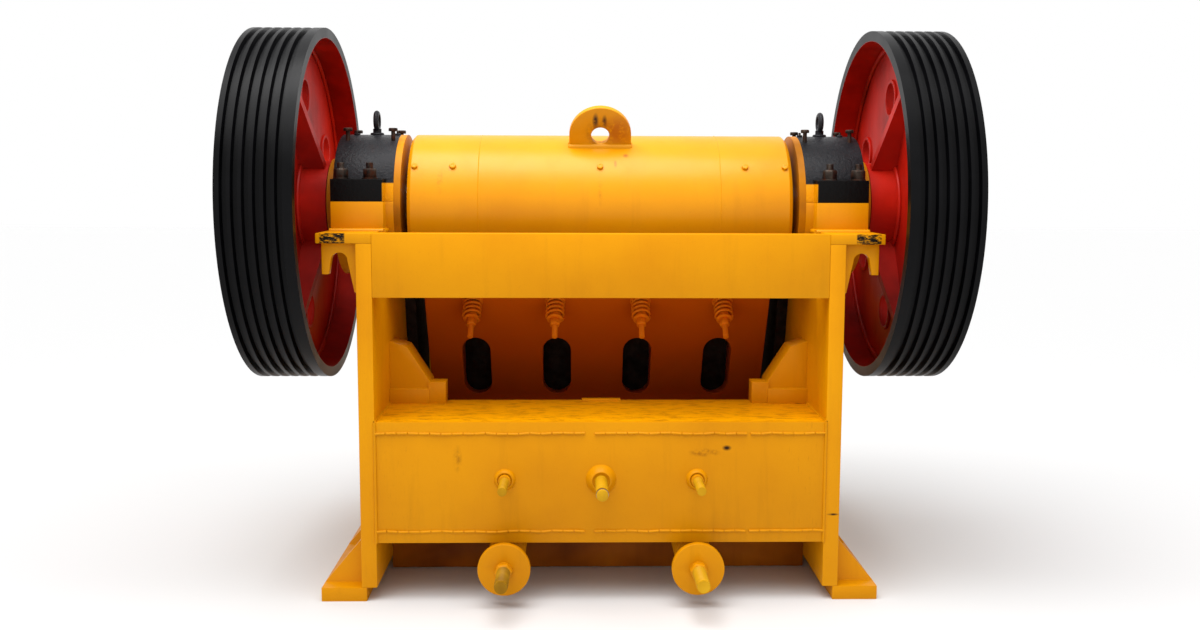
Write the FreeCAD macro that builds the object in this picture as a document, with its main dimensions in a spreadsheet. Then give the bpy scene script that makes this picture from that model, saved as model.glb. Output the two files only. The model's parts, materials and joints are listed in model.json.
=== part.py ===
import FreeCAD, Part
import math
import os
import re
import Sketcher

# Single-toggle jaw crusher, millimetres.
# +X to the right seen from the rear, +Y towards the feed side, +Z up.
# The origin lies on the ground, in the middle of the four anchor bolt holes.

SIZES = {
    # feed opening and overall sizes
    "jaw_plate_width": 1300,
    "gape": 300,
    "discharge": 60,
    "frame_length": 1340,
    "shaft_height": 1272,       # shaft axis above the ground
    "shaft_from_rear": 450,     # shaft axis in front of the frame's rear face
    "throw": 10,                # eccentricity of the shaft
    "orbit_gap": 5,             # least clearance of the orbiting jaw from the frame
    "seat_gap": 0.3,            # clearance of a round part welded or bolted in its seat
    "running_clearance": 0.05,
    "cut_past": 10,             # a cutting shape runs this far past the faces it cuts
    # frame
    "plate_side_gap": 73,       # side plate beyond the jaw plate's edge
    "side_wall": 50,
    "foot_thickness": 45,
    "foot_outstand": 130,       # foot beyond the side plate's outer face
    "foot_width": 146,
    "foot_rib": 25,
    "foot_rib_rise": 155,
    "foot_rib_inset": 60,       # end ribs in from the foot's ends
    "foot_rib_spacing": 400,    # outer faces of the two middle foot ribs
    "anchor_inset": 58,         # anchor hole inside the foot's outer edge
    "anchor_along": 1100,
    "anchor_radius": 17,
    "flange_drop": 81,          # top flange face below the shaft axis
    "flange_thickness": 32,
    "flange_outstand": 124,
    "hook_thickness": 30,
    "hook_recess": 25,          # hook in from the frame's rear edge
    "hook_inset": 13,           # hook lip inside the flange edge
    "hook_reach": 99,           # hook lip below the flange
    "hook_lip": 22,
    "hook_leg": 157,            # hook leg below the flange, at the side plate
    "hook_leg_foot": 9,
    "hook_arch": 26,
    "hook_arch_drop": 56,
    "hook_lip_slope": 7,        # run of the lip's inner edge
    "beam_drop": 284,           # underside of the rear top beam below the shaft axis
    "beam_wall": 70,
    "front_wall": 60,
    "front_wall_bottom": 240,
    "front_rib": 40,
    "front_rib_margin": 10,     # front ribs stop short of the side plates' edge
    # toggle side
    "box_top": 590,             # top of the toggle box beam above the ground
    "box_bottom": 193,
    "box_depth": 391,
    "cross_plate": 35,          # lower plate that takes the tension springs
    "cross_from_rear": 328,
    "cross_lift": 4,            # lower plate clear of the ground
    "bracket_width": 138,
    "bracket_rise": 215,
    "bracket_depth": 120,
    "bracket_ledge": 52,
    "bracket_toe": 20,          # ledge behind the sloping guide
    "bracket_step": 21,
    "bracket_fall": 19,
    "bracket_top": 60,
    "bracket_block_width": 60,
    "bracket_block_depth": 70,
    "bracket_block_rise": 75,
    "bracket_block_overlap": 5,
    "seat_block_width": 900,
    "seat_block_depth": 100,
    "seat_block_rise": 130,
    "toggle_height": 392,       # toggle plate above the ground
    "toggle_thickness": 50,
    "toggle_width": 860,
    "toggle_groove": 20,
    # crushing chamber
    "feed_drop": 87,            # top of both jaw plates below the shaft axis
    "discharge_height": 272,    # lower edge of both jaw plates above the ground
    "jaw_plate": 75,
    "cheek_plate": 40,
    "cheek_back": 200,          # cheek plate's rear edge in front of the shaft axis, at the top
    "cheek_bottom": 385,        # cheek plate's lower edge above the ground
    # swing jaw
    "jaw_inset": 15,            # casting narrower than the jaw plate, each side
    "barrel_radius": 251,
    "barrel_outstand": 5,       # barrel end beyond the casting's flank
    "barrel_chamfer": 12,
    "stock_beyond_barrel": 39,  # jaw plate seat in front of the barrel, at the chamber's top
    "stock_top_drop": 20,
    "back_top_drop": 100,
    "back_point": 155,          # a point of the sloping back, in front of the shaft axis
    "back_point_drop": 341,
    "back_slope": 0.566,        # forward run of the back for each millimetre down
    "back_bend_height": 527,    # end of the slope above the ground
    "jaw_seat_front": 330,      # toggle seat of the jaw, in front of the shaft axis
    "jaw_seat_height": 110,
    "jaw_seat_slope": 40,
    "stock_lip": 40,            # lip under the jaw plate
    "stock_lip_height": 40,
    "stock_foot": 400,          # rear corner of the jaw's lower end, in front of the shaft axis
    "slot_width": 107,
    "slot_length": 255,
    "slot_pitch": 305,
    "slot_drop": 621,
    "slot_start": 60,           # slots are cut from this far in front of the stock
    "slot_reach": 600,
    "lug_radius": 104,
    "lug_thickness": 20,
    "lug_lean": 31,             # degrees that the lug leans back from upright
    "lug_eye_radius": 30.5,
    "lug_eye_rise": 40,         # eye's middle above the barrel
    # tension rods
    "rod_spacing": 618,
    "rod_height": 128,
    "rod_radius": 20,
    "rod_tip": 240,             # rod end behind the frame's rear face
    "rod_lug_width": 110,
    "rod_lug_depth": 80,
    "rod_lug_front": 40,        # rod lug in front of the jaw's rear corner
    "rod_lug_below": 50,        # rod lug below the rod's axis
    "disc_radius": 84,
    "disc_thickness": 24,
    "disc_from_rear": 78,       # rear face of the spring disc behind the frame's rear face
    "spring_radius": 62,
    "spring_wall": 22,
    # shaft and bearings
    "journal_radius": 85,
    "eccentric_radius": 110,
    "bearing_radius": 180,
    "housing_radius": 241,
    "housing_inset": 40,        # housing inside the side plate's inner face
    "housing_width": 200,
    "ear_width": 171,
    "ear_inset": 26,            # ears start outside the housing's inner face
    "ear_half_length": 290,
    "ear_thickness": 73,
    "split_rise": 15,           # cap joint above the shaft axis
    "inner_cover": 22,
    "outer_cover": 37,
    "outer_cover_radius": 158,
    "eye_ring_radius": 27,
    "eye_rod_radius": 9,
    "eye_shank_radius": 14.4,
    "eye_shank": 20,
    "eye_from_housing": 88,
    # flywheels
    "wheel_gap": 47,            # wheel's inner face outside the housing
    "wheel_width": 235.6,
    "wheel_radius": 600,
    "rim_wall": 34,
    "hub_radius": 150,
    "hub_outstand": 5,
    "web_thickness": 50,
    "groove_pitch": 33,
    "groove_top": 22,
    "groove_bottom": 13,
    "groove_depth": 16,
    "groove_margin": 28.6,      # outermost groove's middle from the wheel's outer face
    "groove_count": 6,
    "rib_count": 3,
    "hole_count": 6,
    "rib_thickness": 30,
    "rib_root": 2,              # rib sunk into the hub and the web
    "rib_hub_end": 6,           # rib below the rim face at the hub
    "rib_rim_rise": 4,          # rib above the web at the rim
    "hole_circle": 372,
    "hole_radius": 55,
    "end_cap": 25,
    "end_cap_radius": 108,
}

SIDES = (("left", -1), ("right", 1))
ALIAS = re.compile(r"\b(" + "|".join(sorted(SIZES, key=len, reverse=True)) + r")\b")

# Places worked out from the sizes, as expressions.
REAR = "(0 - frame_length / 2)"
FRONT = "(frame_length / 2)"
SHAFT_Y = "(shaft_from_rear - frame_length / 2)"
JAW_Z = "(shaft_height - throw)"
JAW_CLEAR = "(throw + orbit_gap)"
SIDE_IN = "(jaw_plate_width / 2 + plate_side_gap)"
SIDE_OUT = f"({SIDE_IN} + side_wall)"
INNER_WIDTH = f"(2 * {SIDE_IN})"
FLANGE_TOP = "(shaft_height - flange_drop)"
FLANGE_UNDER = "(shaft_height - flange_drop - flange_thickness)"
FLANGE_OUT = f"({SIDE_OUT} + flange_outstand)"
FOOT_OUT = f"({SIDE_OUT} + foot_outstand)"
BOX_FRONT = "(box_depth - frame_length / 2)"
CROSS_REAR = f"({REAR} + cross_from_rear)"
CONVERGE = "(gape - discharge)"
PLATE_TOP = "(shaft_height - feed_drop)"
CHAMBER = f"({PLATE_TOP} - discharge_height)"
PLATE_RUN = f"(jaw_plate * sqrt(1 + ({CONVERGE} / {CHAMBER}) ^ 2))"
STOCK_Y = f"({SHAFT_Y} + barrel_radius + stock_beyond_barrel)"
STOCK_LOW_Y = f"({STOCK_Y} + {CONVERGE})"
STOCK_BOTTOM = "(discharge_height - stock_lip_height)"
JAW_HALF = "(jaw_plate_width / 2 - jaw_inset)"
BARREL_HALF = f"({JAW_HALF} + barrel_outstand)"
ROD_LUG_Y = f"({SHAFT_Y} + stock_foot + rod_lug_front)"
FIXED_FACE = f"({STOCK_Y} + {PLATE_RUN} + gape)"
WALL_FRONT = f"({FIXED_FACE} + jaw_plate + front_wall)"
HOUSING_IN = f"({SIDE_IN} - housing_inset)"
HOUSING_OUT = f"({HOUSING_IN} + housing_width)"
EAR_IN = f"({HOUSING_IN} + ear_inset)"
SPLIT_Z = "(shaft_height + split_rise)"
WHEEL_IN = f"({HOUSING_OUT} + wheel_gap)"
WHEEL_OUT = f"({WHEEL_IN} + wheel_width)"
WEB_IN = f"({WHEEL_IN} + wheel_width / 2 - web_thickness / 2)"
WEB_OUT = f"({WEB_IN} + web_thickness)"
RIM_IN = "(wheel_radius - rim_wall)"
WEB_EDGE = f"({RIM_IN} - seat_gap)"
HOUSING_SEAT = "housing_radius + seat_gap"

doc = FreeCAD.newDocument("JawCrusher")
sheet = doc.addObject("Spreadsheet::Sheet", "Sizes")
for row, (size_name, size_value) in enumerate(SIZES.items(), start=1):
    sheet.set(f"A{row}", size_name)
    sheet.set(f"B{row}", str(size_value))
    sheet.setAlias(f"B{row}", size_name)
doc.recompute()

nodes = []


def bound(text):
    """The expression with every size name read from the sheet."""
    return ALIAS.sub(r"Sizes.\1", text)


def value(text):
    """The expression's value now, as a plain number."""
    return float(sheet.evalExpression(bound(text)))


def bind(thing, prop, text):
    """Ties a property to an expression of the sizes."""
    thing.setExpression(prop, bound(text))


def node(thing, label):
    """Marks an object as a sub-part and gives it the name of its file."""
    thing.Label = label
    nodes.append(thing)
    return thing


def place(thing, x="0", y="0", z="0"):
    """Ties an object's position to expressions."""
    for axis, text in (("x", x), ("y", y), ("z", z)):
        if text != "0":
            bind(thing, f"Placement.Base.{axis}", text)


def turned_about(axis, angle):
    """A placement at the origin, turned about an axis by degrees."""
    return FreeCAD.Placement(FreeCAD.Vector(), FreeCAD.Rotation(axis, angle))


def box(name, x, y, z):
    """A box from (low, size) pairs along X, Y and Z."""
    thing = doc.addObject("Part::Box", name)
    for prop, (low, size) in (("Length", x), ("Width", y), ("Height", z)):
        bind(thing, prop, size)
    place(thing, x[0], y[0], z[0])
    return thing


ROD_TURNS = {
    "X": (FreeCAD.Vector(0, 1, 0), 90),
    "Y": (FreeCAD.Vector(1, 0, 0), -90),
    "Z": (FreeCAD.Vector(0, 0, 1), 0),
}


def rod(name, axis, radius, length, x="0", y="0", z="0"):
    """A cylinder along X, Y or Z from its starting point."""
    thing = doc.addObject("Part::Cylinder", name)
    bind(thing, "Radius", radius)
    bind(thing, "Height", length)
    thing.Placement = turned_about(*ROD_TURNS[axis])
    place(thing, x, y, z)
    return thing


def borer(name, axis, radius, low, length, x="0", y="0", z="0"):
    """A cylinder for cutting, which runs past both ends of the length that starts at `low`."""
    start = {"X": x, "Y": y, "Z": z}
    start[axis] = f"({low}) - cut_past"
    return rod(name, axis, radius, f"({length}) + 2 * cut_past", start["X"], start["Y"], start["Z"])


def fuse(name, parts):
    """Several shapes joined in one."""
    thing = doc.addObject("Part::MultiFuse", name)
    thing.Shapes = parts
    thing.Refine = True
    return thing


def cut(name, base, tool):
    """A shape with another taken away."""
    thing = doc.addObject("Part::Cut", name)
    thing.Base = base
    thing.Tool = tool
    thing.Refine = True
    return thing


def sketch_on(body, role, offset="0"):
    """An empty sketch on one of the body's own origin planes, moved along its normal."""
    sketch = body.newObject("Sketcher::SketchObject", body.Name + "Sketch")
    plane = next(item for item in body.Origin.OriginFeatures if item.Role == role)
    sketch.AttachmentSupport = (plane, [""])
    sketch.MapMode = "FlatFace"
    if offset != "0":
        bind(sketch, "AttachmentOffset.Base.z", offset)
    return sketch


def tie(sketch, geometry, point, u, v):
    """Ties a sketch point to its two distances from the origin."""
    for kind, text in (("DistanceX", u), ("DistanceY", v)):
        rule = Sketcher.Constraint(kind, -1, 1, geometry, point, value(text))
        index = sketch.addConstraint(rule)
        bind(sketch, f"Constraints[{index}]", text)


def tie_radius(sketch, geometry, radius):
    """Ties the radius of a circle or an arc."""
    index = sketch.addConstraint(Sketcher.Constraint("Radius", geometry, value(radius)))
    bind(sketch, f"Constraints[{index}]", radius)


def outline(sketch, points):
    """A closed outline through (u, v) expressions."""
    first = sketch.GeometryCount
    count = len(points)
    corners = [FreeCAD.Vector(value(u), value(v), 0) for u, v in points]
    for index, start in enumerate(corners):
        sketch.addGeometry(Part.LineSegment(start, corners[(index + 1) % count]), False)
    for index in range(count):
        follower = first + (index + 1) % count
        sketch.addConstraint(Sketcher.Constraint("Coincident", first + index, 2, follower, 1))
    for index, (u, v) in enumerate(points):
        tie(sketch, first + index, 1, u, v)


def circle(sketch, u, v, radius):
    """A circle at (u, v) expressions."""
    centre = FreeCAD.Vector(value(u), value(v), 0)
    shape = Part.Circle(centre, FreeCAD.Vector(0, 0, 1), value(radius))
    geometry = sketch.addGeometry(shape, False)
    tie(sketch, geometry, 3, u, v)
    tie_radius(sketch, geometry, radius)


def obround(sketch, u, v, half_run, radius):
    """A slot with round ends that stands up in the sketch."""
    x = value(u)
    z = value(v)
    run = value(half_run)
    r = value(radius)
    up = FreeCAD.Vector(0, 0, 1)
    upper = Part.Circle(FreeCAD.Vector(x, z + run, 0), up, r)
    lower = Part.Circle(FreeCAD.Vector(x, z - run, 0), up, r)
    first = sketch.addGeometry(Part.ArcOfCircle(upper, 0, math.pi), False)
    last = sketch.addGeometry(Part.ArcOfCircle(lower, math.pi, 2 * math.pi), False)
    flanks = []
    for edge, start, end in ((x - r, z + run, z - run), (x + r, z - run, z + run)):
        line = Part.LineSegment(FreeCAD.Vector(edge, start, 0), FreeCAD.Vector(edge, end, 0))
        flanks.append(sketch.addGeometry(line, False))
    left, right = flanks
    joints = ((first, 2, left, 1), (left, 2, last, 1), (last, 2, right, 1), (right, 2, first, 1))
    for one, end, other, start in joints:
        sketch.addConstraint(Sketcher.Constraint("Tangent", one, end, other, start))
    tie(sketch, first, 3, u, f"{v} + {half_run}")
    tie(sketch, last, 3, u, f"{v} - {half_run}")
    tie_radius(sketch, first, radius)


def body_of(name):
    """An empty body."""
    return doc.addObject("PartDesign::Body", name)


def pad(body, sketch, length):
    """A sketch raised to a thickness."""
    feature = body.newObject("PartDesign::Pad", body.Name + "Pad")
    feature.Profile = sketch
    bind(feature, "Length", length)
    doc.recompute()
    return feature


def pocket(body, sketch, length, backwards=False):
    """A pocket of the given depth, which has to take something away."""
    doc.recompute()
    before = body.Shape.Volume
    feature = body.newObject("PartDesign::Pocket", body.Name + "Pocket")
    feature.Profile = sketch
    bind(feature, "Length", length)
    feature.Reversed = backwards
    doc.recompute()
    if body.Shape.Volume >= before:
        raise ValueError(f"{feature.Name} cuts nothing")
    return feature


def turned(body, sketch, kind="Revolution"):
    """A sketch turned a full circle about its own horizontal axis, to add or to cut."""
    feature = body.newObject(f"PartDesign::{kind}", body.Name + kind)
    feature.Profile = sketch
    feature.ReferenceAxis = (sketch, ["H_Axis"])
    feature.Angle = 360
    doc.recompute()
    return feature


def polar(body, feature, count):
    """Repeats a feature about the body's X axis."""
    pattern = body.newObject("PartDesign::PolarPattern", feature.Name + "Ring")
    pattern.Originals = [feature]
    axis = next(item for item in body.Origin.OriginFeatures if item.Role == "X_Axis")
    pattern.Axis = (axis, [""])
    pattern.Angle = 360
    bind(pattern, "Occurrences", count)
    body.Tip = pattern
    doc.recompute()
    return pattern


def plate_x(name, points, low, thickness):
    """A plate along X from its outline in Y and Z."""
    body = body_of(name)
    sketch = sketch_on(body, "YZ_Plane", low)
    outline(sketch, points)
    pad(body, sketch, thickness)
    return body


def plate_y(name, points, rear, thickness):
    """A plate along Y from its outline in X and Z; the XZ plane's normal is -Y."""
    body = body_of(name)
    sketch = sketch_on(body, "XZ_Plane", f"0 - ({rear}) - ({thickness})")
    outline(sketch, points)
    pad(body, sketch, thickness)
    return body


def low_x(sign, near, size):
    """Low X of something that starts at distance `near` from the middle, on either side."""
    return f"({near})" if sign > 0 else f"(0 - ({near}) - ({size}))"


def on_side(sign, points):
    """An outline drawn for the right side, put on either side."""
    return [(f"{sign} * ({u})", v) for u, v in points]


def housing_seat(name, base, low, length):
    """The base with the bearing housing's round seat cut along X."""
    tool = borer(f"{name}Seat", "X", HOUSING_SEAT, low, length, y=SHAFT_Y, z="shaft_height")
    return cut(f"{name}Seated", base, tool)


def side_plate(side, sign):
    """Side plate with the round seat of the bearing housing cut into its top."""
    points = [
        (REAR, "foot_thickness"),
        (FRONT, "foot_thickness"),
        (FRONT, FLANGE_UNDER),
        (REAR, FLANGE_UNDER),
    ]
    low = low_x(sign, SIDE_IN, "side_wall")
    plate = plate_x(f"SidePlate{side}", points, low, "side_wall")
    node(housing_seat(f"SidePlate{side}", plate, low, "side_wall"), f"side_plate_{side}")


def top_flange(side, sign):
    """Flange on the side plate's top edge that carries the bearing housing."""
    width = f"({FLANGE_OUT} - {SIDE_IN})"
    low = low_x(sign, SIDE_IN, width)
    across = (low, width)
    strip = box(f"Flange{side}", across, (REAR, "frame_length"), (FLANGE_UNDER, "flange_thickness"))
    node(housing_seat(f"Flange{side}", strip, low, width), f"top_flange_{side}")


def foot(side, sign):
    """Foot plate with four outward ribs and two anchor bolt holes."""
    low = low_x(sign, f"{FOOT_OUT} - foot_width", "foot_width")
    across = (low, "foot_width")
    parts = [box(f"FootBase{side}", across, (REAR, "frame_length"), ("0", "foot_thickness"))]
    rib = on_side(sign, [
        (SIDE_OUT, "foot_thickness"),
        (FOOT_OUT, "foot_thickness"),
        (SIDE_OUT, "foot_thickness + foot_rib_rise"),
    ])
    rears = [
        f"({REAR} + foot_rib_inset)",
        "0 - foot_rib_spacing / 2",
        "foot_rib_spacing / 2 - foot_rib",
        f"{FRONT} - foot_rib_inset - foot_rib",
    ]
    for number, rear in enumerate(rears):
        parts.append(plate_y(f"FootRib{side}{number}", rib, rear, "foot_rib"))
    whole = fuse(f"FootWhole{side}", parts)
    hole_x = f"{sign} * ({FOOT_OUT} - anchor_inset)"
    for end, shift in (("Rear", "0 - anchor_along / 2"), ("Front", "anchor_along / 2")):
        hole = borer(f"Anchor{side}{end}", "Z", "anchor_radius", "0", "foot_thickness", hole_x, shift)
        whole = cut(f"FootCut{side}{end}", whole, hole)
    node(whole, f"foot_{side}")


def lifting_hook(side, sign):
    """Plate with an arched notch under the flange's rear end, for a lifting sling."""
    lip_out = f"({FLANGE_OUT} - hook_inset)"
    lip_low = f"({FLANGE_UNDER} - hook_reach)"
    leg_low = f"({FLANGE_UNDER} - hook_leg)"
    arch_x = f"({lip_out} - hook_lip - hook_lip_slope - hook_arch)"
    arch_z = f"({FLANGE_UNDER} - hook_arch_drop)"
    points = on_side(sign, [
        (SIDE_OUT, FLANGE_UNDER),
        (lip_out, FLANGE_UNDER),
        (lip_out, lip_low),
        (f"{lip_out} - hook_lip", lip_low),
        (f"{arch_x} + hook_arch", arch_z),
        (f"{arch_x} - hook_arch", arch_z),
        (f"{SIDE_OUT} + hook_leg_foot", leg_low),
        (SIDE_OUT, leg_low),
    ])
    body = plate_y(f"Hook{side}", points, f"({REAR} + hook_recess)", "hook_thickness")
    arch = sketch_on(body, "XZ_Plane", f"0 - {REAR} - hook_recess")
    circle(arch, f"{sign} * {arch_x}", arch_z, "hook_arch")
    pocket(body, arch, "hook_thickness")
    node(body, f"lifting_hook_{side}")


def guide_bracket(side, sign):
    """Bracket on the toggle box beside the jaw: a sloping guide on a ledge, with an end block."""
    top = "(box_top + bracket_rise)"
    ledge = "(box_top + bracket_ledge)"
    inner = f"({SIDE_IN} - bracket_width)"
    rear = f"({SHAFT_Y} - bracket_depth)"
    points = on_side(sign, [
        (SIDE_IN, ledge),
        (inner, ledge),
        (inner, f"{ledge} + bracket_step"),
        (f"{SIDE_IN} - bracket_top", f"{top} - bracket_fall"),
        (SIDE_IN, top),
    ])
    guide = plate_y(f"Guide{side}", points, rear, "bracket_depth")
    shelf = box(
        f"Ledge{side}",
        (low_x(sign, inner, "bracket_width"), "bracket_width"),
        (f"{rear} - bracket_toe", "bracket_depth + bracket_toe"),
        ("box_top", "bracket_ledge"),
    )
    block_near = f"{inner} - bracket_block_width + bracket_block_overlap"
    block = box(
        f"Block{side}",
        (low_x(sign, block_near, "bracket_block_width"), "bracket_block_width"),
        (f"{rear} - bracket_toe / 2", "bracket_block_depth"),
        ("box_top", "bracket_block_rise"),
    )
    node(fuse(f"Bracket{side}", [guide, shelf, block]), f"guide_bracket_{side}")


def cheek_plate(side, sign):
    """Liner on the side plate between the two jaw plates."""
    rear_top = f"{SHAFT_Y} + cheek_back"
    run = f"({CONVERGE} * ({PLATE_TOP} - cheek_bottom) / {CHAMBER})"
    points = [
        (rear_top, PLATE_TOP),
        (f"{rear_top} + {run}", "cheek_bottom"),
        (FIXED_FACE, "cheek_bottom"),
        (FIXED_FACE, PLATE_TOP),
    ]
    low = low_x(sign, f"{SIDE_IN} - cheek_plate", "cheek_plate")
    plate = plate_x(f"Cheek{side}", points, low, "cheek_plate")
    node(housing_seat(f"Cheek{side}", plate, low, "cheek_plate"), f"cheek_plate_{side}")


def housing_half(name, sign, ear_low, ear_height, away_low):
    """One half of the split housing: ears and half of the drum, bored for the bearing."""
    low = low_x(sign, HOUSING_IN, "housing_width")
    along = (f"{SHAFT_Y} - ear_half_length", "2 * ear_half_length")
    ears = box(f"{name}Ears", (low_x(sign, EAR_IN, "ear_width"), "ear_width"), along, (ear_low, ear_height))
    drum = rod(f"{name}Drum", "X", "housing_radius", "housing_width", low, SHAFT_Y, "shaft_height")
    past = (f"{low} - cut_past", "housing_width + 2 * cut_past")
    away = box(f"{name}Away", past, along, (away_low, "ear_half_length"))
    solid = fuse(f"{name}Solid", [ears, cut(f"{name}Drumcut", drum, away)])
    radius = "bearing_radius + seat_gap"
    bore = borer(f"{name}Bore", "X", radius, low, "housing_width", y=SHAFT_Y, z="shaft_height")
    return cut(name, solid, bore)


def bearing_housing(side, sign):
    """Split housing: a base welded into the frame and a cap bolted on its ears."""
    base_height = "flange_drop + split_rise"
    base = housing_half(f"Base{side}", sign, FLANGE_TOP, base_height, SPLIT_Z)
    node(base, f"bearing_base_{side}")
    cap = housing_half(f"Cap{side}", sign, SPLIT_Z, "ear_thickness", f"{SPLIT_Z} - ear_half_length")
    node(cap, f"bearing_cap_{side}")


def bearing(side, sign):
    """Bearing ring and its two covers, turned about the shaft."""
    body = body_of(f"Bearing{side}")
    sketch = sketch_on(body, "XZ_Plane")
    inside = "journal_radius + running_clearance"
    inner_face = f"{HOUSING_IN} - inner_cover"
    outer_face = f"{HOUSING_OUT} + outer_cover"
    outline(sketch, on_side(sign, [
        (inner_face, inside),
        (outer_face, inside),
        (outer_face, "outer_cover_radius"),
        (HOUSING_OUT, "outer_cover_radius"),
        (HOUSING_OUT, "bearing_radius"),
        (HOUSING_IN, "bearing_radius"),
        (HOUSING_IN, "housing_radius"),
        (inner_face, "housing_radius"),
    ]))
    turned(body, sketch)
    place(body, "0", SHAFT_Y, "shaft_height")
    node(body, f"bearing_{side}")


def cap_eye(side, sign):
    """Lifting eye on the bearing cap: a ring on a short shank."""
    x = f"{sign} * ({HOUSING_IN} + eye_from_housing)"
    foot_z = "(shaft_height + housing_radius + seat_gap)"
    ring_z = "(shaft_height + housing_radius + eye_shank + eye_ring_radius)"
    shank = rod(f"EyeShank{side}", "Z", "eye_shank_radius", "eye_shank", x, SHAFT_Y, foot_z)
    ring = doc.addObject("Part::Torus", f"EyeRing{side}")
    bind(ring, "Radius1", "eye_ring_radius")
    bind(ring, "Radius2", "eye_rod_radius")
    ring.Placement = turned_about(FreeCAD.Vector(0, 1, 0), 90)
    place(ring, x, SHAFT_Y, ring_z)
    node(fuse(f"Eye{side}", [shank, ring]), f"cap_eye_{side}")


def flywheel_rim(side, sign):
    """Rim of the flywheel with its V-belt grooves."""
    body = body_of(f"Rim{side}")
    section = sketch_on(body, "XZ_Plane")
    outline(section, on_side(sign, [
        (WHEEL_IN, RIM_IN),
        (WHEEL_IN, "wheel_radius"),
        (WHEEL_OUT, "wheel_radius"),
        (WHEEL_OUT, RIM_IN),
    ]))
    turned(body, section)
    cutter = sketch_on(body, "XZ_Plane")
    middle = f"({WHEEL_OUT} - groove_margin)"
    top = "wheel_radius + seat_gap"
    bottom = "wheel_radius - groove_depth"
    outline(cutter, on_side(sign, [
        (f"{middle} - groove_top / 2", top),
        (f"{middle} + groove_top / 2", top),
        (f"{middle} + groove_bottom / 2", bottom),
        (f"{middle} - groove_bottom / 2", bottom),
    ]))
    groove = turned(body, cutter, "Groove")
    rows = body.newObject("PartDesign::LinearPattern", body.Name + "Grooves")
    rows.Originals = [groove]
    rows.Direction = (cutter, ["H_Axis"])
    rows.Reversed = sign > 0
    rows.Mode = "Spacing"
    bind(rows, "Offset", "groove_pitch")
    bind(rows, "Occurrences", "groove_count")
    body.Tip = rows
    doc.recompute()
    place(body, "0", SHAFT_Y, "shaft_height")
    node(body, f"flywheel_rim_{side}")


def flywheel_web(side, sign):
    """Web of the flywheel with its hub, ribs on the inner side and round holes in a ring."""
    body = body_of(f"Web{side}")
    section = sketch_on(body, "XZ_Plane")
    bore = "journal_radius + seat_gap"
    hub_face = f"{WHEEL_IN} - hub_outstand"
    outline(section, [
        (WHEEL_OUT, bore),
        (WHEEL_OUT, "hub_radius"),
        (WEB_OUT, "hub_radius"),
        (WEB_OUT, WEB_EDGE),
        (WEB_IN, WEB_EDGE),
        (WEB_IN, "hub_radius"),
        (hub_face, "hub_radius"),
        (hub_face, bore),
    ])
    turned(body, section)
    rib_section = sketch_on(body, "XZ_Plane", "0 - rib_thickness / 2")
    rib_end = f"sqrt({WEB_EDGE} ^ 2 - (rib_thickness / 2) ^ 2)"
    outline(rib_section, [
        (f"{WHEEL_IN} + rib_hub_end", "hub_radius - rib_root"),
        (f"{WEB_IN} - rib_rim_rise", rib_end),
        (f"{WEB_IN} + rib_root", rib_end),
        (f"{WEB_IN} + rib_root", "hub_radius - rib_root"),
    ])
    polar(body, pad(body, rib_section, "rib_thickness"), "rib_count")
    # the first rib stands straight up here; the wheel is turned half a hole pitch to the rear at the end
    hole_sketch = sketch_on(body, "YZ_Plane", f"{WEB_IN} - cut_past")
    half_pitch = "180 / hole_count"
    hole_u = f"hole_circle * sin({half_pitch})"
    hole_v = f"hole_circle * cos({half_pitch})"
    circle(hole_sketch, hole_u, hole_v, "hole_radius")
    hole = pocket(body, hole_sketch, "web_thickness + 2 * cut_past", backwards=True)
    polar(body, hole, "hole_count")
    spin = FreeCAD.Rotation(FreeCAD.Vector(1, 0, 0), sign * value(half_pitch))
    side_turn = FreeCAD.Rotation(FreeCAD.Vector(0, 0, 1), 0 if sign > 0 else 180)
    body.Placement = FreeCAD.Placement(FreeCAD.Vector(), side_turn.multiply(spin))
    place(body, "0", SHAFT_Y, "shaft_height")
    node(body, f"flywheel_web_{side}")


def end_cap(side, sign):
    """Round cap on the end of the shaft that holds the flywheel."""
    low = low_x(sign, WHEEL_OUT, "end_cap")
    cap = rod(f"EndCap{side}", "X", "end_cap_radius", "end_cap", low, SHAFT_Y, "shaft_height")
    node(cap, f"shaft_end_cap_{side}")


def eccentric_shaft():
    """Shaft with its thicker eccentric part, which runs in the jaw's barrel."""
    start = f"0 - {WHEEL_OUT}"
    length = f"2 * {WHEEL_OUT}"
    straight = rod("ShaftStraight", "X", "journal_radius", length, start, SHAFT_Y, "shaft_height")
    thick_start = f"0 - {JAW_HALF}"
    thick_length = f"2 * {JAW_HALF}"
    thick = rod("ShaftThick", "X", "eccentric_radius", thick_length, thick_start, SHAFT_Y, JAW_Z)
    node(fuse("Shaft", [straight, thick]), "eccentric_shaft")


def barrel():
    """The jaw's barrel, solid as yet, with a chamfer at each end."""
    body = body_of("Barrel")
    section = sketch_on(body, "XZ_Plane")
    shoulder = "barrel_radius - barrel_chamfer"
    outline(section, [
        (f"0 - {BARREL_HALF}", "0"),
        (f"0 - {BARREL_HALF}", shoulder),
        (f"barrel_chamfer - {BARREL_HALF}", "barrel_radius"),
        (f"{BARREL_HALF} - barrel_chamfer", "barrel_radius"),
        (BARREL_HALF, shoulder),
        (BARREL_HALF, "0"),
    ])
    turned(body, section)
    place(body, "0", SHAFT_Y, JAW_Z)
    return body


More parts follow.
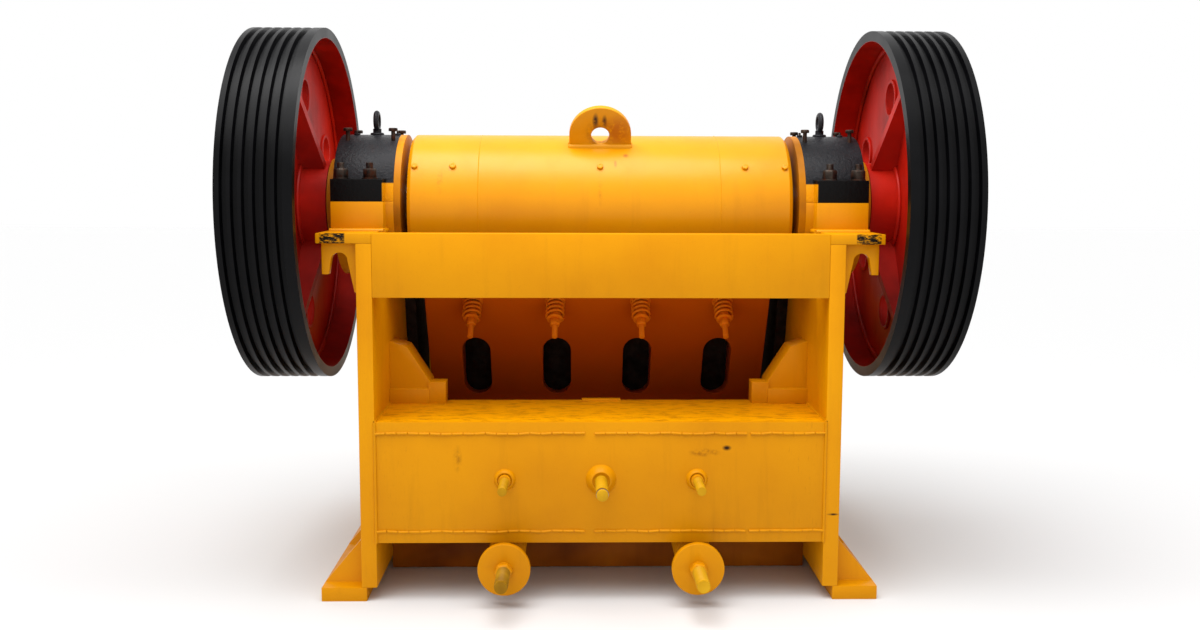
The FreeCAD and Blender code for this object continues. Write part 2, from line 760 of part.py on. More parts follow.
def jaw_stock():
    """The jaw's body below the barrel, with four slots through its sloping back."""
    bend_run = "(shaft_height - back_bend_height - back_point_drop)"
    bend_y = f"({SHAFT_Y} + back_point + back_slope * {bend_run})"
    back_top_y = f"({SHAFT_Y} + back_point + back_slope * (back_top_drop - back_point_drop))"
    seat_y = f"{SHAFT_Y} + jaw_seat_front"
    points = [
        (SHAFT_Y, "shaft_height - stock_top_drop"),
        (STOCK_Y, "shaft_height - stock_top_drop"),
        (STOCK_Y, PLATE_TOP),
        (STOCK_LOW_Y, "discharge_height"),
        (f"{STOCK_LOW_Y} + stock_lip", "discharge_height"),
        (f"{STOCK_LOW_Y} + stock_lip", STOCK_BOTTOM),
        (f"{SHAFT_Y} + stock_foot", STOCK_BOTTOM),
        (bend_y, "toggle_height - jaw_seat_height / 2 - jaw_seat_slope"),
        (seat_y, "toggle_height - jaw_seat_height / 2"),
        (seat_y, "toggle_height + jaw_seat_height / 2"),
        (bend_y, "toggle_height + jaw_seat_height / 2 + jaw_seat_slope"),
        (bend_y, "back_bend_height"),
        (back_top_y, "shaft_height - back_top_drop"),
    ]
    stock = plate_x("Stock", points, f"0 - {JAW_HALF}", f"2 * {JAW_HALF}")
    middle_z = "(shaft_height - slot_drop)"
    half_run = "((slot_length - slot_width) / 2 / sqrt(1 + back_slope ^ 2))"
    for place_x in (-1.5, -0.5, 0.5, 1.5):
        slot_sketch = sketch_on(stock, "XZ_Plane", f"0 - ({STOCK_LOW_Y} + slot_start)")
        obround(slot_sketch, f"({place_x} * slot_pitch)", middle_z, half_run, "slot_width / 2")
        pocket(stock, slot_sketch, "slot_reach", backwards=True)
    return stock


def swing_jaw():
    """Barrel and stock in one casting, with two lugs for the tension rods."""
    parts = [jaw_stock(), barrel()]
    lug_low = "(rod_height - rod_lug_below)"
    for side, sign in SIDES:
        near = "rod_spacing / 2 - rod_lug_width / 2"
        parts.append(box(
            f"RodLug{side}",
            (low_x(sign, near, "rod_lug_width"), "rod_lug_width"),
            (ROD_LUG_Y, "rod_lug_depth"),
            (lug_low, f"discharge_height - {lug_low}"),
        ))
    whole = fuse("JawWhole", parts)
    radius = "eccentric_radius + running_clearance"
    length = f"2 * {BARREL_HALF}"
    bore = borer("BarrelBore", "X", radius, f"0 - {BARREL_HALF}", length, y=SHAFT_Y, z=JAW_Z)
    node(cut("SwingJaw", whole, bore), "swing_jaw")


def barrel_lug():
    """Lifting lug on the barrel: a round-topped plate with an eye, square to the barrel's surface.
    It is drawn upright over the barrel's axis and then leaned back."""
    rear = "0 - lug_thickness / 2"
    eye_z = "(barrel_radius + lug_eye_rise)"
    disc = rod("LugDisc", "Y", "lug_radius", "lug_thickness", y=rear, z=eye_z)
    across = ("0 - lug_radius", "2 * lug_radius")
    low = "(barrel_radius - lug_eye_rise)"
    leg = box("LugLeg", across, (rear, "lug_thickness"), (low, f"{eye_z} - {low}"))
    plate = fuse("LugPlate", [disc, leg])
    eye = borer("LugEye", "Y", "lug_eye_radius", rear, "lug_thickness", z=eye_z)
    saddle = borer("LugSaddle", "X", "barrel_radius + seat_gap", "0 - lug_radius", "2 * lug_radius")
    seated = cut("LugSeated", cut("LugOpen", plate, eye), saddle)
    seated.Placement = turned_about(FreeCAD.Vector(1, 0, 0), value("lug_lean"))
    place(seated, "0", SHAFT_Y, JAW_Z)
    node(seated, "barrel_lifting_lug")


def jaw_plates():
    """Fixed plate on the front wall and moving plate on the swing jaw."""
    across = ("0 - jaw_plate_width / 2", "jaw_plate_width")
    fixed = box("FixedPlate", across, (FIXED_FACE, "jaw_plate"), ("discharge_height", CHAMBER))
    node(fixed, "fixed_jaw_plate")
    points = [
        (STOCK_Y, PLATE_TOP),
        (f"{STOCK_Y} + {PLATE_RUN}", PLATE_TOP),
        (f"{STOCK_LOW_Y} + {PLATE_RUN}", "discharge_height"),
        (STOCK_LOW_Y, "discharge_height"),
    ]
    node(plate_x("MovingPlate", points, *across), "moving_jaw_plate")


def front_wall():
    """Wall behind the fixed jaw plate, with a rib across its top and its lower edge."""
    across = ("0 - " + SIDE_IN, INNER_WIDTH)
    rise = f"({FLANGE_TOP} - front_wall_bottom)"
    rear = f"({FIXED_FACE} + jaw_plate)"
    node(box("FrontWall", across, (rear, "front_wall"), ("front_wall_bottom", rise)), "front_wall")
    depth = f"({FRONT} - front_rib_margin - {WALL_FRONT})"
    for name, low in (("bottom", "front_wall_bottom"), ("top", f"{FLANGE_TOP} - front_rib")):
        rib = box(f"FrontRib{name}", across, (WALL_FRONT, depth), (low, "front_rib"))
        node(rib, f"front_rib_{name}")


def rear_beams():
    """Top beam, toggle box beam and lower cross plate with its two rod holes."""
    across = ("0 - " + SIDE_IN, INNER_WIDTH)
    beam_low = "(shaft_height - beam_drop)"
    beam_rise = f"{FLANGE_TOP} - {beam_low}"
    node(box("TopBeam", across, (REAR, "beam_wall"), (beam_low, beam_rise)), "rear_top_beam")
    box_rise = "box_top - box_bottom"
    toggle_box = box("ToggleBox", across, (REAR, "box_depth"), ("box_bottom", box_rise))
    node(toggle_box, "toggle_box_beam")
    plate_rise = "box_bottom - cross_lift"
    plate = box("CrossPlate", across, (CROSS_REAR, "cross_plate"), ("cross_lift", plate_rise))
    radius = f"rod_radius + {JAW_CLEAR}"
    for side, sign in SIDES:
        x = f"{sign} * rod_spacing / 2"
        hole = borer(f"RodHole{side}", "Y", radius, CROSS_REAR, "cross_plate", x, z="rod_height + throw")
        plate = cut(f"CrossPlate{side}", plate, hole)
    node(plate, "lower_cross_plate")


def toggle():
    """Grooved seat on the box beam, and the toggle plate that stands in it before the jaw."""
    block_across = ("0 - seat_block_width / 2", "seat_block_width")
    block_low = "toggle_height - seat_block_rise / 2"
    block_along = (BOX_FRONT, "seat_block_depth")
    block = box("SeatBlock", block_across, block_along, (block_low, "seat_block_rise"))
    across = ("0 - toggle_width / 2", "toggle_width")
    height = ("toggle_height - toggle_thickness / 2", "toggle_thickness")
    groove_y = f"({BOX_FRONT} + seat_block_depth - toggle_groove)"
    groove = box("SeatGroove", across, (groove_y, "toggle_groove + cut_past"), height)
    node(cut("Seat", block, groove), "toggle_seat")
    reach = f"({SHAFT_Y} + jaw_seat_front - {JAW_CLEAR} - {groove_y})"
    node(box("Toggle", across, (groove_y, reach), height), "toggle_plate")


def tension_rod(side, sign):
    """Rod from the jaw's lower end to behind the frame, with its spring and the disc on it."""
    x = f"{sign} * rod_spacing / 2"
    tip = f"({REAR} - rod_tip)"
    bar = rod(f"RodBar{side}", "Y", "rod_radius", f"{ROD_LUG_Y} - {tip}", x, tip, "rod_height")
    node(bar, f"tension_rod_{side}")
    disc_rear = f"({REAR} - disc_from_rear)"
    disc = rod(f"DiscBody{side}", "Y", "disc_radius", "disc_thickness", x, disc_rear, "rod_height")
    bore = "rod_radius + seat_gap"
    hole = borer(f"DiscHole{side}", "Y", bore, disc_rear, "disc_thickness", x, z="rod_height")
    node(cut(f"Disc{side}", disc, hole), f"spring_disc_{side}")
    start = f"({disc_rear} + disc_thickness + seat_gap)"
    length = f"({CROSS_REAR} - {start})"
    coil = rod(f"SpringOuter{side}", "Y", "spring_radius", length, x, start, "rod_height")
    inside = "spring_radius - spring_wall"
    hollow = borer(f"SpringInner{side}", "Y", inside, start, length, x, z="rod_height")
    node(cut(f"Spring{side}", coil, hollow), f"tension_spring_{side}")


def build():
    """Every sub-part, the sides first."""
    for side, sign in SIDES:
        side_plate(side, sign)
        top_flange(side, sign)
        foot(side, sign)
        lifting_hook(side, sign)
        guide_bracket(side, sign)
        cheek_plate(side, sign)
        bearing_housing(side, sign)
        bearing(side, sign)
        cap_eye(side, sign)
        flywheel_rim(side, sign)
        flywheel_web(side, sign)
        end_cap(side, sign)
        tension_rod(side, sign)
    eccentric_shaft()
    swing_jaw()
    barrel_lug()
    jaw_plates()
    front_wall()
    rear_beams()
    toggle()


def check():
    """Stops if a feature or a sub-part is broken."""
    doc.recompute()
    faults = [item.Name for item in doc.Objects if "Invalid" in item.State or "Error" in item.State]
    faults += [item.Label for item in nodes if item.Shape.isNull() or not item.Shape.isValid()]
    if faults:
        raise ValueError(f"broken: {faults}")


def write():
    """One STEP file for each sub-part."""
    os.makedirs("parts", exist_ok=True)
    for item in nodes:
        item.Shape.exportStep(f"parts/{item.Label}.step")
        volume = item.Shape.Volume / 1e9
        solids = len(item.Shape.Solids)
        print(f"{item.Label:24s} {volume:8.4f} m3  {solids} solid")


build()
check()
write()
print(len(nodes), "nodes")
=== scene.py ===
import json
import math
import random
import bpy
from mathutils import Matrix, Vector

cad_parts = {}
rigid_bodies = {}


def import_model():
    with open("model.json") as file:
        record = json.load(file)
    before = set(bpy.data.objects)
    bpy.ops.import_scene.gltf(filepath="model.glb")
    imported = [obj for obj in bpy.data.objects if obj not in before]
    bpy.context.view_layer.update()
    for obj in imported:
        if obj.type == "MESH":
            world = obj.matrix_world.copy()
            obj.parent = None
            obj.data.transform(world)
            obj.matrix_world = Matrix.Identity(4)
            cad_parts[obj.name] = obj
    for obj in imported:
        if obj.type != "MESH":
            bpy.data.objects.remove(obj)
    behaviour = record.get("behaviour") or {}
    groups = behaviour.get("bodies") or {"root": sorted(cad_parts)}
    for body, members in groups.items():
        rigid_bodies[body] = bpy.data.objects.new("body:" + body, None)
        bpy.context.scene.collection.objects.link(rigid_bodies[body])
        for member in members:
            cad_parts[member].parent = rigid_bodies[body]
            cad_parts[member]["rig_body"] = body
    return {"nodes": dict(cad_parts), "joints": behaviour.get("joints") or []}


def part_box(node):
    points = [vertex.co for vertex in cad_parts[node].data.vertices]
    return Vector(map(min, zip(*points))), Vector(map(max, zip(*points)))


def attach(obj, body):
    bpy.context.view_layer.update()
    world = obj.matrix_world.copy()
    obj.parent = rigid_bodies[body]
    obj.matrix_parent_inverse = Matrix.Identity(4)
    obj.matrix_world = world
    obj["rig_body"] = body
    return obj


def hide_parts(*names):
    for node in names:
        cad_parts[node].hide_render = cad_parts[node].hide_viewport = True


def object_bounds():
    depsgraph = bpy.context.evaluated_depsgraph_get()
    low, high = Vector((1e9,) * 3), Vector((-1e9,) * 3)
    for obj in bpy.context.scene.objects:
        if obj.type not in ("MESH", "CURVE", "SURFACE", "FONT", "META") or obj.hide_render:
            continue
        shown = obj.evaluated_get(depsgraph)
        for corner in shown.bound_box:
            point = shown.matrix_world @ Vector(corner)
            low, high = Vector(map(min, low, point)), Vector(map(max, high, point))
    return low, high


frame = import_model()
CAD_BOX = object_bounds()
MM = 0.001
QUARTER = math.pi / 2
UP = Vector((0, 0, 1))
REARWARD = Vector((0, -1, 0))
nodes = frame["nodes"]
SHAFT = Vector(frame["joints"][0]["pos_m"])
JAW_AXIS = Vector(frame["joints"][1]["pos_m"])
BARREL_RADIUS = 0.251       # the jaw's round top
HOUSING_RADIUS = 0.241      # the bearing housings' round top


# ---------------------------------------------------------------- materials

def paint(code):
    """An sRGB hex value as linear colour."""
    parts = [int(code[i:i + 2], 16) / 255 for i in (1, 3, 5)]
    return [c / 12.92 if c <= 0.04045 else ((c + 0.055) / 1.055) ** 2.4 for c in parts] + [1.0]


def add(tree, kind, inputs=None, stops=None, **settings):
    """Adds a node with its settings, and fills its inputs with values or links."""
    made = tree.nodes.new(kind)
    for key, setting in settings.items():
        setattr(made, key, setting)
    for key, filling in (inputs or {}).items():
        if isinstance(filling, bpy.types.NodeSocket):
            tree.links.new(filling, made.inputs[key])
        else:
            made.inputs[key].default_value = filling
    if stops:
        ramp = made.color_ramp
        while len(ramp.elements) < len(stops):
            ramp.elements.new(0.5)
        for element, (position, code) in zip(ramp.elements, stops):
            element.position = position
            element.color = paint(code) if isinstance(code, str) else (code, code, code, 1)
    return made


def per_metre(size_mm):
    """Noise scale whose blotches are about this many millimetres across."""
    return 1000.0 / size_mm


def surface(name, metallic, roughness, index=None):
    """A new material, with its tree, its shader and its object coordinates; metals keep the usual index."""
    made = bpy.data.materials.new(name)
    made.use_nodes = True
    tree = made.node_tree
    tree.nodes.clear()
    shader = add(tree, "ShaderNodeBsdfPrincipled", {"Metallic": metallic, "Roughness": roughness})
    if index is not None:
        shader.inputs["IOR"].default_value = index
    out = add(tree, "ShaderNodeOutputMaterial", {"Surface": shader.outputs["BSDF"]})
    out.location = (400, 0)
    place = add(tree, "ShaderNodeTexCoord").outputs["Object"]
    return made, tree, shader, place


def noise(tree, place, size_mm, detail=4.0, roughness=0.55, stretch=None):
    """Blotches of a real size, stretched along an axis where asked."""
    if stretch:
        place = add(tree, "ShaderNodeMapping", {"Vector": place, "Scale": stretch}).outputs["Vector"]
    settings = {"Vector": place, "Scale": per_metre(size_mm), "Detail": detail, "Roughness": roughness}
    return add(tree, "ShaderNodeTexNoise", settings).outputs["Fac"]


def share(tree, value, low, high):
    """A value cut to a 0 to 1 share between two limits."""
    settings = {"Value": value, "From Min": low, "From Max": high}
    return add(tree, "ShaderNodeMapRange", settings, clamp=True).outputs["Result"]


def times(tree, one, other):
    """The product of two values."""
    return add(tree, "ShaderNodeMath", {0: one, 1: other}, operation="MULTIPLY").outputs[0]


def over(tree, base, top, amount):
    """One colour laid over another by a share."""
    made = tree.nodes.new("ShaderNodeMix")
    made.data_type = "RGBA"
    for socket, filling in (("Factor_Float", amount), ("A_Color", base), ("B_Color", top)):
        target = next(s for s in made.inputs if s.identifier == socket)
        if isinstance(filling, bpy.types.NodeSocket):
            tree.links.new(filling, target)
        else:
            target.default_value = filling
    return next(s for s in made.outputs if s.identifier == "Result_Color")


def patch(tree, place, centre, radius, ragged=0.5, squash=(1, 1, 1)):
    """A ragged spot round a point, 1 in its middle, narrower along the axes that are squashed."""
    away = add(tree, "ShaderNodeVectorMath", {0: place, 1: tuple(centre)},
               operation="SUBTRACT").outputs["Vector"]
    away = add(tree, "ShaderNodeVectorMath", {0: away, 1: squash}, operation="MULTIPLY").outputs["Vector"]
    gap = add(tree, "ShaderNodeVectorMath", {0: away}, operation="LENGTH").outputs["Value"]
    inside = share(tree, gap, radius, radius * 0.3)
    grain = share(tree, noise(tree, place, 22, 8.0, 0.7), ragged - 0.08, ragged + 0.1)
    return times(tree, inside, grain)


def within(tree, place, limits, soft=2 * MM):
    """1 where the distance from the middle plane, Y and Z all lie between limits."""
    axes = add(tree, "ShaderNodeSeparateXYZ", {"Vector": place}).outputs
    across = add(tree, "ShaderNodeMath", {0: axes["X"]}, operation="ABSOLUTE").outputs[0]
    inside = None
    for value, limit in zip((across, axes["Y"], axes["Z"]), limits):
        if limit:
            above = share(tree, value, limit[0] - soft, limit[0] + soft)
            below = share(tree, value, limit[1] + soft, limit[1] - soft)
            both = times(tree, above, below)
            inside = both if inside is None else times(tree, inside, both)
    return inside


def enamel(name, light, middle, deep, roughness=0.36, grime=0.12, spots=(), marks=(), chips=0.7, coarse=0.0,
           low=None, index=1.2):
    """Sprayed enamel on steel plate: an even gloss with a slight orange peel, colour that drifts a little
    over the plate, faint brown runs, and small chips that show dark primer. Below the height `low` the
    colour is painted shade, redder and darker towards the bottom."""
    made, tree, shader, place = surface(name, 0.0, roughness, index)
    drift = noise(tree, place, 380, 4.0)
    colour = add(tree, "ShaderNodeValToRGB", {"Fac": drift}, stops=[(0.32, deep), (0.5, middle), (0.7, light)])
    runs = noise(tree, place, 55, 7.0, 0.65, (1.0, 1.0, 0.1))
    dirt = times(tree, share(tree, runs, 0.54, 0.8), grime)
    shade = over(tree, colour.outputs["Color"], paint("#5C2E08"), dirt)
    dust = share(tree, noise(tree, place, 9, 10.0, 0.8), 0.56, 0.8)
    shade = over(tree, shade, paint("#7A3F08"), times(tree, dust, 0.22))
    speckle = share(tree, noise(tree, place, 13, 9.0, 0.75), chips, chips + 0.03)
    region = share(tree, noise(tree, place, 170, 2.0), 0.52, 0.62)
    shade = over(tree, shade, paint("#2E1A10"), times(tree, speckle, region))
    # painted shade: below the height `low` the colour blends into a redder, darker ramp that deepens towards
    # the bottom
    if low is not None:
        height = add(tree, "ShaderNodeSeparateXYZ", {"Vector": place}).outputs["Z"]
        painted_shade_below = share(tree, height, low + 0.08, low - 0.01)
        cloud = times(tree, noise(tree, place, 120, 5.0, 0.6), 0.16)
        level = add(tree, "ShaderNodeMath", {0: share(tree, height, low - 0.43, low), 1: cloud},
                    operation="ADD")
        shade_ramp_below = add(tree, "ShaderNodeValToRGB", {"Fac": level.outputs[0]},
                    stops=[(0.1, "#9E3A03"), (0.55, "#BE4E04"), (1.0, "#CE6002")])
        shade = over(tree, shade, shade_ramp_below.outputs["Color"], painted_shade_below)
    for centre, radius, code, ragged, *squash in spots:
        shade = over(tree, shade, paint(code), patch(tree, place, centre, radius, ragged, *squash))
    for limits, code, size_mm, stretch, cut in marks:
        rag = share(tree, noise(tree, place, size_mm, 8.0, 0.7, stretch), cut, cut + 0.1)
        shade = over(tree, shade, paint(code), times(tree, within(tree, place, limits), rag))
    tree.links.new(shade, shader.inputs["Base Color"])
    gloss = add(tree, "ShaderNodeMapRange",
                {"Value": runs, "To Min": roughness - 0.08, "To Max": roughness + 0.16})
    tree.links.new(gloss.outputs["Result"], shader.inputs["Roughness"])
    peel = noise(tree, place, 5, 2.0)
    wave = noise(tree, place, 130, 2.0)
    fine = add(tree, "ShaderNodeBump", {"Height": peel, "Strength": 0.08, "Distance": 0.6 * MM})
    broad = add(tree, "ShaderNodeBump", {"Height": wave, "Strength": 0.35, "Distance": 3 * MM,
                                         "Normal": fine.outputs["Normal"]})
    last = broad
    if coarse:
        skin = noise(tree, place, 11, 5.0, 0.65)
        last = add(tree, "ShaderNodeBump", {"Height": skin, "Strength": coarse, "Distance": 2.5 * MM,
                                            "Normal": broad.outputs["Normal"]})
    tree.links.new(last.outputs["Normal"], shader.inputs["Normal"])
    return made


def bare_metal(name, light, dark, roughness, rust=0.0, grain_mm=9, bump=0.25, metallic=1.0):
    """Bare steel: forged, cast or turned, grey with a rust bloom where it is asked for."""
    made, tree, shader, place = surface(name, metallic, roughness)
    mottle = noise(tree, place, 45, 6.0, 0.6)
    colour = add(tree, "ShaderNodeValToRGB", {"Fac": mottle}, stops=[(0.35, dark), (0.65, light)])
    bloom = share(tree, noise(tree, place, 26, 7.0, 0.7), 0.62 - 0.3 * rust, 0.8 - 0.3 * rust)
    shade = over(tree, colour.outputs["Color"], paint("#5A2A12"), times(tree, bloom, min(1.0, rust * 1.6)))
    tree.links.new(shade, shader.inputs["Base Color"])
    rough = add(tree, "ShaderNodeMapRange",
                {"Value": bloom, "To Min": roughness, "To Max": min(1, roughness + 0.35)})
    tree.links.new(rough.outputs["Result"], shader.inputs["Roughness"])
    skin = noise(tree, place, grain_mm, 6.0, 0.6)
    relief = add(tree, "ShaderNodeBump", {"Height": skin, "Strength": bump, "Distance": 1.2 * MM})
    tree.links.new(relief.outputs["Normal"], shader.inputs["Normal"])
    return made


def rim_enamel():
    """Black enamel on the rim's turned faces and grooves, red on the inside of the rim, parted by radius."""
    made, tree, shader, place = surface("Black enamel, turned rim", 0.0, 0.3, 1.2)
    apart = add(tree, "ShaderNodeVectorMath", {0: place, 1: tuple(SHAFT)},
                operation="SUBTRACT").outputs["Vector"]
    radial = add(tree, "ShaderNodeVectorMath", {0: apart, 1: (0, 1, 1)}, operation="MULTIPLY").outputs["Vector"]
    radius = add(tree, "ShaderNodeVectorMath", {0: radial}, operation="LENGTH").outputs["Value"]
    inner = share(tree, radius, RIM_INSIDE + 1.5 * MM, RIM_INSIDE + 0.5 * MM)
    cloud = noise(tree, place, 160, 5.0)
    black = add(tree, "ShaderNodeValToRGB", {"Fac": cloud}, stops=[(0.3, "#020203"), (0.7, "#08080A")])
    red = add(tree, "ShaderNodeValToRGB", {"Fac": cloud}, stops=[(0.3, "#6E0A04"), (0.7, "#B01808")])
    colour = over(tree, black.outputs["Color"], red.outputs["Color"], inner)
    fleck = share(tree, noise(tree, place, 17, 8.0, 0.7), 0.73, 0.76)
    colour = over(tree, colour, paint("#8A6A1E"), times(tree, fleck, 0.55))
    tree.links.new(colour, shader.inputs["Base Color"])
    gloss = add(tree, "ShaderNodeMapRange", {"Value": cloud, "To Min": 0.24, "To Max": 0.46})
    tree.links.new(gloss.outputs["Result"], shader.inputs["Roughness"])
    skin = noise(tree, place, 6, 3.0)
    peel = add(tree, "ShaderNodeBump", {"Height": skin, "Strength": 0.1, "Distance": 0.8 * MM})
    tree.links.new(peel.outputs["Normal"], shader.inputs["Normal"])
    return made


web_low, web_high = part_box("flywheel_web_left")
RIM_INSIDE = (web_high.z - web_low.z) / 2
EVERYWHERE = -0.2           # a mark's cut that no noise falls under

# marks: the limits of |X|, Y and Z they lie in, colour, size of their grain in mm, stretch, cut
flange_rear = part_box("top_flange_right")[0].y
scuffs = [(((0.806, 0.884), (-0.7, flange_rear + 6 * MM), None), "#15100B", 9, (0.45, 1, 1.5), 0.41)]
# spots: centre, radius, colour, how ragged, and how much narrower they are along X, Y and Z
eye_z = JAW_AXIS.z + 0.249
scorches = [
    (Vector((-0.0165, 0, eye_z + 0.043)), 0.028, "#2C221C", 0.36, (2.3, 0, 1)),
    (Vector((0.0135, 0, eye_z + 0.039)), 0.026, "#3E2814", 0.38, (2.5, 0, 1)),
    (Vector((0, 0, eye_z)), 0.056, "#8F5208", 0.46, (1, 0, 1)),
    (Vector((0.06, 0, eye_z + 0.01)), 0.06, "#B4660A", 0.4, (1, 0, 1)),
]
box_low, box_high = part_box("toggle_box_beam")
box_spots = [
    (Vector((0.404, box_low.y, 0.505)), 0.017, "#2A1608", 0.3, (1, 1, 1.6)),
    (Vector((0.33, box_low.y, 0.49)), 0.06, "#8A5200", 0.5, (1, 1, 4)),
    (Vector((-0.46, box_low.y, 0.47)), 0.05, "#A86A00", 0.5, (3, 1, 1)),
]
box_top_face = (None, (-0.66, -0.27), (box_high.z - 1 * MM, box_high.z + 1 * MM))
box_wear_and_lit_top = [
    # painted light: the beam's whole top face is made lighter, a painted highlight where the top catches the
    # light
    (box_top_face, "#EDA200", 400, None, EVERYWHERE),
    (box_top_face, "#8F5404", 26, (0.5, 1.4, 1), 0.5),
    (((0.6, 0.73), (-0.7, -0.66), None), "#B87400", 16, (2.5, 1, 0.4), 0.6),
]
plate_spots = [(Vector((0.752, -0.67, 0.285)), 0.022, "#2A1608", 0.34, (1, 1, 4.5))]
barrel_spots = [
    (JAW_AXIS + Vector((0.05, -0.2, 0.15)), 0.02, "#B06A08", 0.4, (3, 1, 1)),
    (JAW_AXIS + Vector((0.085, -0.176, 0.178)), 0.012, "#A8640A", 0.35),
    (JAW_AXIS + Vector((-0.53, -0.23, 0.09)), 0.05, "#B87606", 0.5, (4, 1, 1)),
    (JAW_AXIS + Vector((0.0, -0.24, 0.07)), 0.07, "#C07C06", 0.5, (7, 1, 1)),
]
housing_strip = ((0.0, 0.7115), None, (1.2, SHAFT.z + 0.075))
ears = ((0.705, 0.9), (-0.6, SHAFT.y - 0.2), (1.2, SHAFT.z + 0.09))
YELLOW = ("#D79000", "#D38B00", "#CD8400")

# one yellow enamel, as sprayed on plate, then as wear, heat, dust and casting change it; its darker and orange
# copies for the beam, cross plate, bearings, jaw and bolts are painted shade, and the beam's lighter top is
# painted light
yellow = enamel("Yellow enamel, sprayed on plate", *YELLOW, spots=plate_spots)
yellow_flange = enamel("Yellow enamel, scuffed at the ends", *YELLOW, marks=scuffs)
yellow_lug = enamel("Yellow enamel, scorched lug", *YELLOW, spots=scorches, index=1.3)
# painted shade: a darker copy of the yellow enamel for the box beam and the low parts round it, with more brown
# runs
yellow_box = enamel("Yellow enamel, grimy beam darkened as painted shade", "#CE8800", "#C98300", "#C37D00", grime=0.18,
                    spots=box_spots, marks=box_wear_and_lit_top, chips=0.72)
# painted shade: a much darker, browner copy of the yellow enamel for the cross plate under the box, with heavy
# brown runs
yellow_low = enamel("Yellow enamel, stained near the ground", "#A85F04", "#8F4A04", "#6E3403",
                    0.5, 0.4, chips=0.7)
yellow_cast = enamel("Yellow enamel on casting", *YELLOW, 0.32, 0.1, chips=0.72, coarse=0.1, index=1.26)
# the jaw's enamel: below the height 0.96 its colour is painted shade, redder and darker towards the bottom
yellow_jaw = enamel("Yellow enamel on the jaw casting, painted shade below", *YELLOW, 0.3, 0.1, spots=barrel_spots,
                    chips=0.74, coarse=0.08, low=0.96, index=1.3)
# painted shade: a darker, browner copy of the yellow enamel for the bearings, which sit in the flywheels'
# shade, with heavy brown runs
yellow_shaded_bearing = enamel("Yellow enamel, grimy bearing darkened as painted shade", "#CE8600", "#B06C00", "#7E4A04",
                       0.4, 0.4, chips=0.72)
# painted shade: an orange copy of the yellow enamel for the jaw's bolts, in the hue of the jaw's shaded back
orange_bolt = enamel("Yellow enamel on bolts, orange as painted shade", "#F08A10", "#E07A08", "#C86806",
                     0.42, 0.1, chips=0.8)
# thick black on a sand casting: the skin shows as a pebbled gloss, with a yellow strip next to the frame
black_cast = enamel("Black enamel on rough casting", "#2C2C2F", "#1A1A1D", "#0E0E10", 0.3, 0.05, coarse=0.9,
                    marks=[(ears, "#070606", 60, None, EVERYWHERE),
                           (housing_strip, "#D28A00", 100, None, EVERYWHERE)])
# a clear, slightly uneven red, darker and browner where the coat is thin
red_wheel = enamel("Red enamel, cast wheel", "#C8200C", "#AC1608", "#780C05",
                   0.42, 0.16, coarse=0.22, index=1.26)
rim_paint = rim_enamel()
# bare steels: forged is almost black with a rust bloom, turned is a plain bright grey, cast is dull brown-grey
dark_steel = bare_metal("Blackened steel bolts, forged", "#4A423C", "#211C19", 0.55, 0.45, 8, 0.4)
turned_steel = bare_metal("Steel, turned", "#A8A6A2", "#77746F", 0.3, 0.05, 4, 0.06)
# cast steel is made very dark: partly its own colour, partly painted shade for the depths of the jaw's slots
# and the cheeks
cast_steel = bare_metal("Manganese steel, cast", "#3E3731", "#211C18", 0.55, 0.3, 12, 0.5)
thread_coat = enamel("Yellow enamel on greasy thread", "#D2A01A", "#B88608", "#8A6208", 0.4, 0.4)


# ---------------------------------------------------------------- shaping

def deselect():
    """Nothing is selected afterwards."""
    for chosen in list(bpy.context.selected_objects):
        chosen.select_set(False)


def edit(piece):
    """Takes one piece into edit mode, alone."""
    alone(piece)
    bpy.ops.object.mode_set(mode="EDIT")


def rest():
    """Leaves edit mode."""
    if bpy.context.mode != "OBJECT":
        bpy.ops.object.mode_set(mode="OBJECT")


def fresh(name):
    """The primitive just added, named."""
    piece = bpy.context.object
    piece.name = name
    piece.data.name = name
    return piece


def alone(piece):
    """Selects one piece and nothing else."""
    rest()
    deselect()
    bpy.context.view_layer.objects.active = piece
    piece.select_set(True)


def fix(piece):
    """Puts the piece's place, turn and scale into its mesh."""
    alone(piece)
    bpy.ops.object.transform_apply(location=True, rotation=True, scale=True)
    return piece


def choose(piece, kind, parts, rule):
    """Selects the parts of a mesh that meet a rule and nothing else, and enters edit mode in their kind."""
    rest()
    mesh = piece.data
    for group in (mesh.vertices, mesh.edges, mesh.polygons):
        group.foreach_set("select", [False] * len(group))
    for part in getattr(mesh, parts):
        part.select = rule(part)
    alone(piece)
    bpy.ops.object.mode_set(mode="EDIT")
    bpy.ops.mesh.select_mode(type=kind)


def pick_faces(piece, rule):
    """Selects the faces that meet a rule of centre and normal."""
    choose(piece, "FACE", "polygons", lambda face: rule(face.center, face.normal))


def pick_edges(piece, rule):
    """Selects the edges whose two ends meet a rule."""
    choose(piece, "EDGE", "edges", lambda edge: rule(*(piece.data.vertices[i].co for i in edge.vertices)))


def pick_points(piece, rule):
    """Selects the vertices that meet a rule."""
    choose(piece, "VERT", "vertices", lambda point: rule(point.co))


def modify(piece, kind, **settings):
    """Adds a modifier with its settings and applies it."""
    alone(piece)
    made = piece.modifiers.new(kind, kind)
    for key, setting in settings.items():
        setattr(made, key, setting)
    bpy.ops.object.modifier_apply(modifier=made.name)


def tidy_normals(piece):
    """Merges doubled points and turns the faces outward."""
    edit(piece)
    bpy.ops.mesh.select_all(action="SELECT")
    bpy.ops.mesh.remove_doubles(threshold=0.02 * MM)
    bpy.ops.mesh.normals_make_consistent(inside=False)
    rest()


def rounded(piece, width, segments=2, angle=32):
    """Breaks the sharp edges."""
    modify(piece, "BEVEL", width=width, segments=segments, limit_method="ANGLE",
           angle_limit=math.radians(angle), use_clamp_overlap=True)


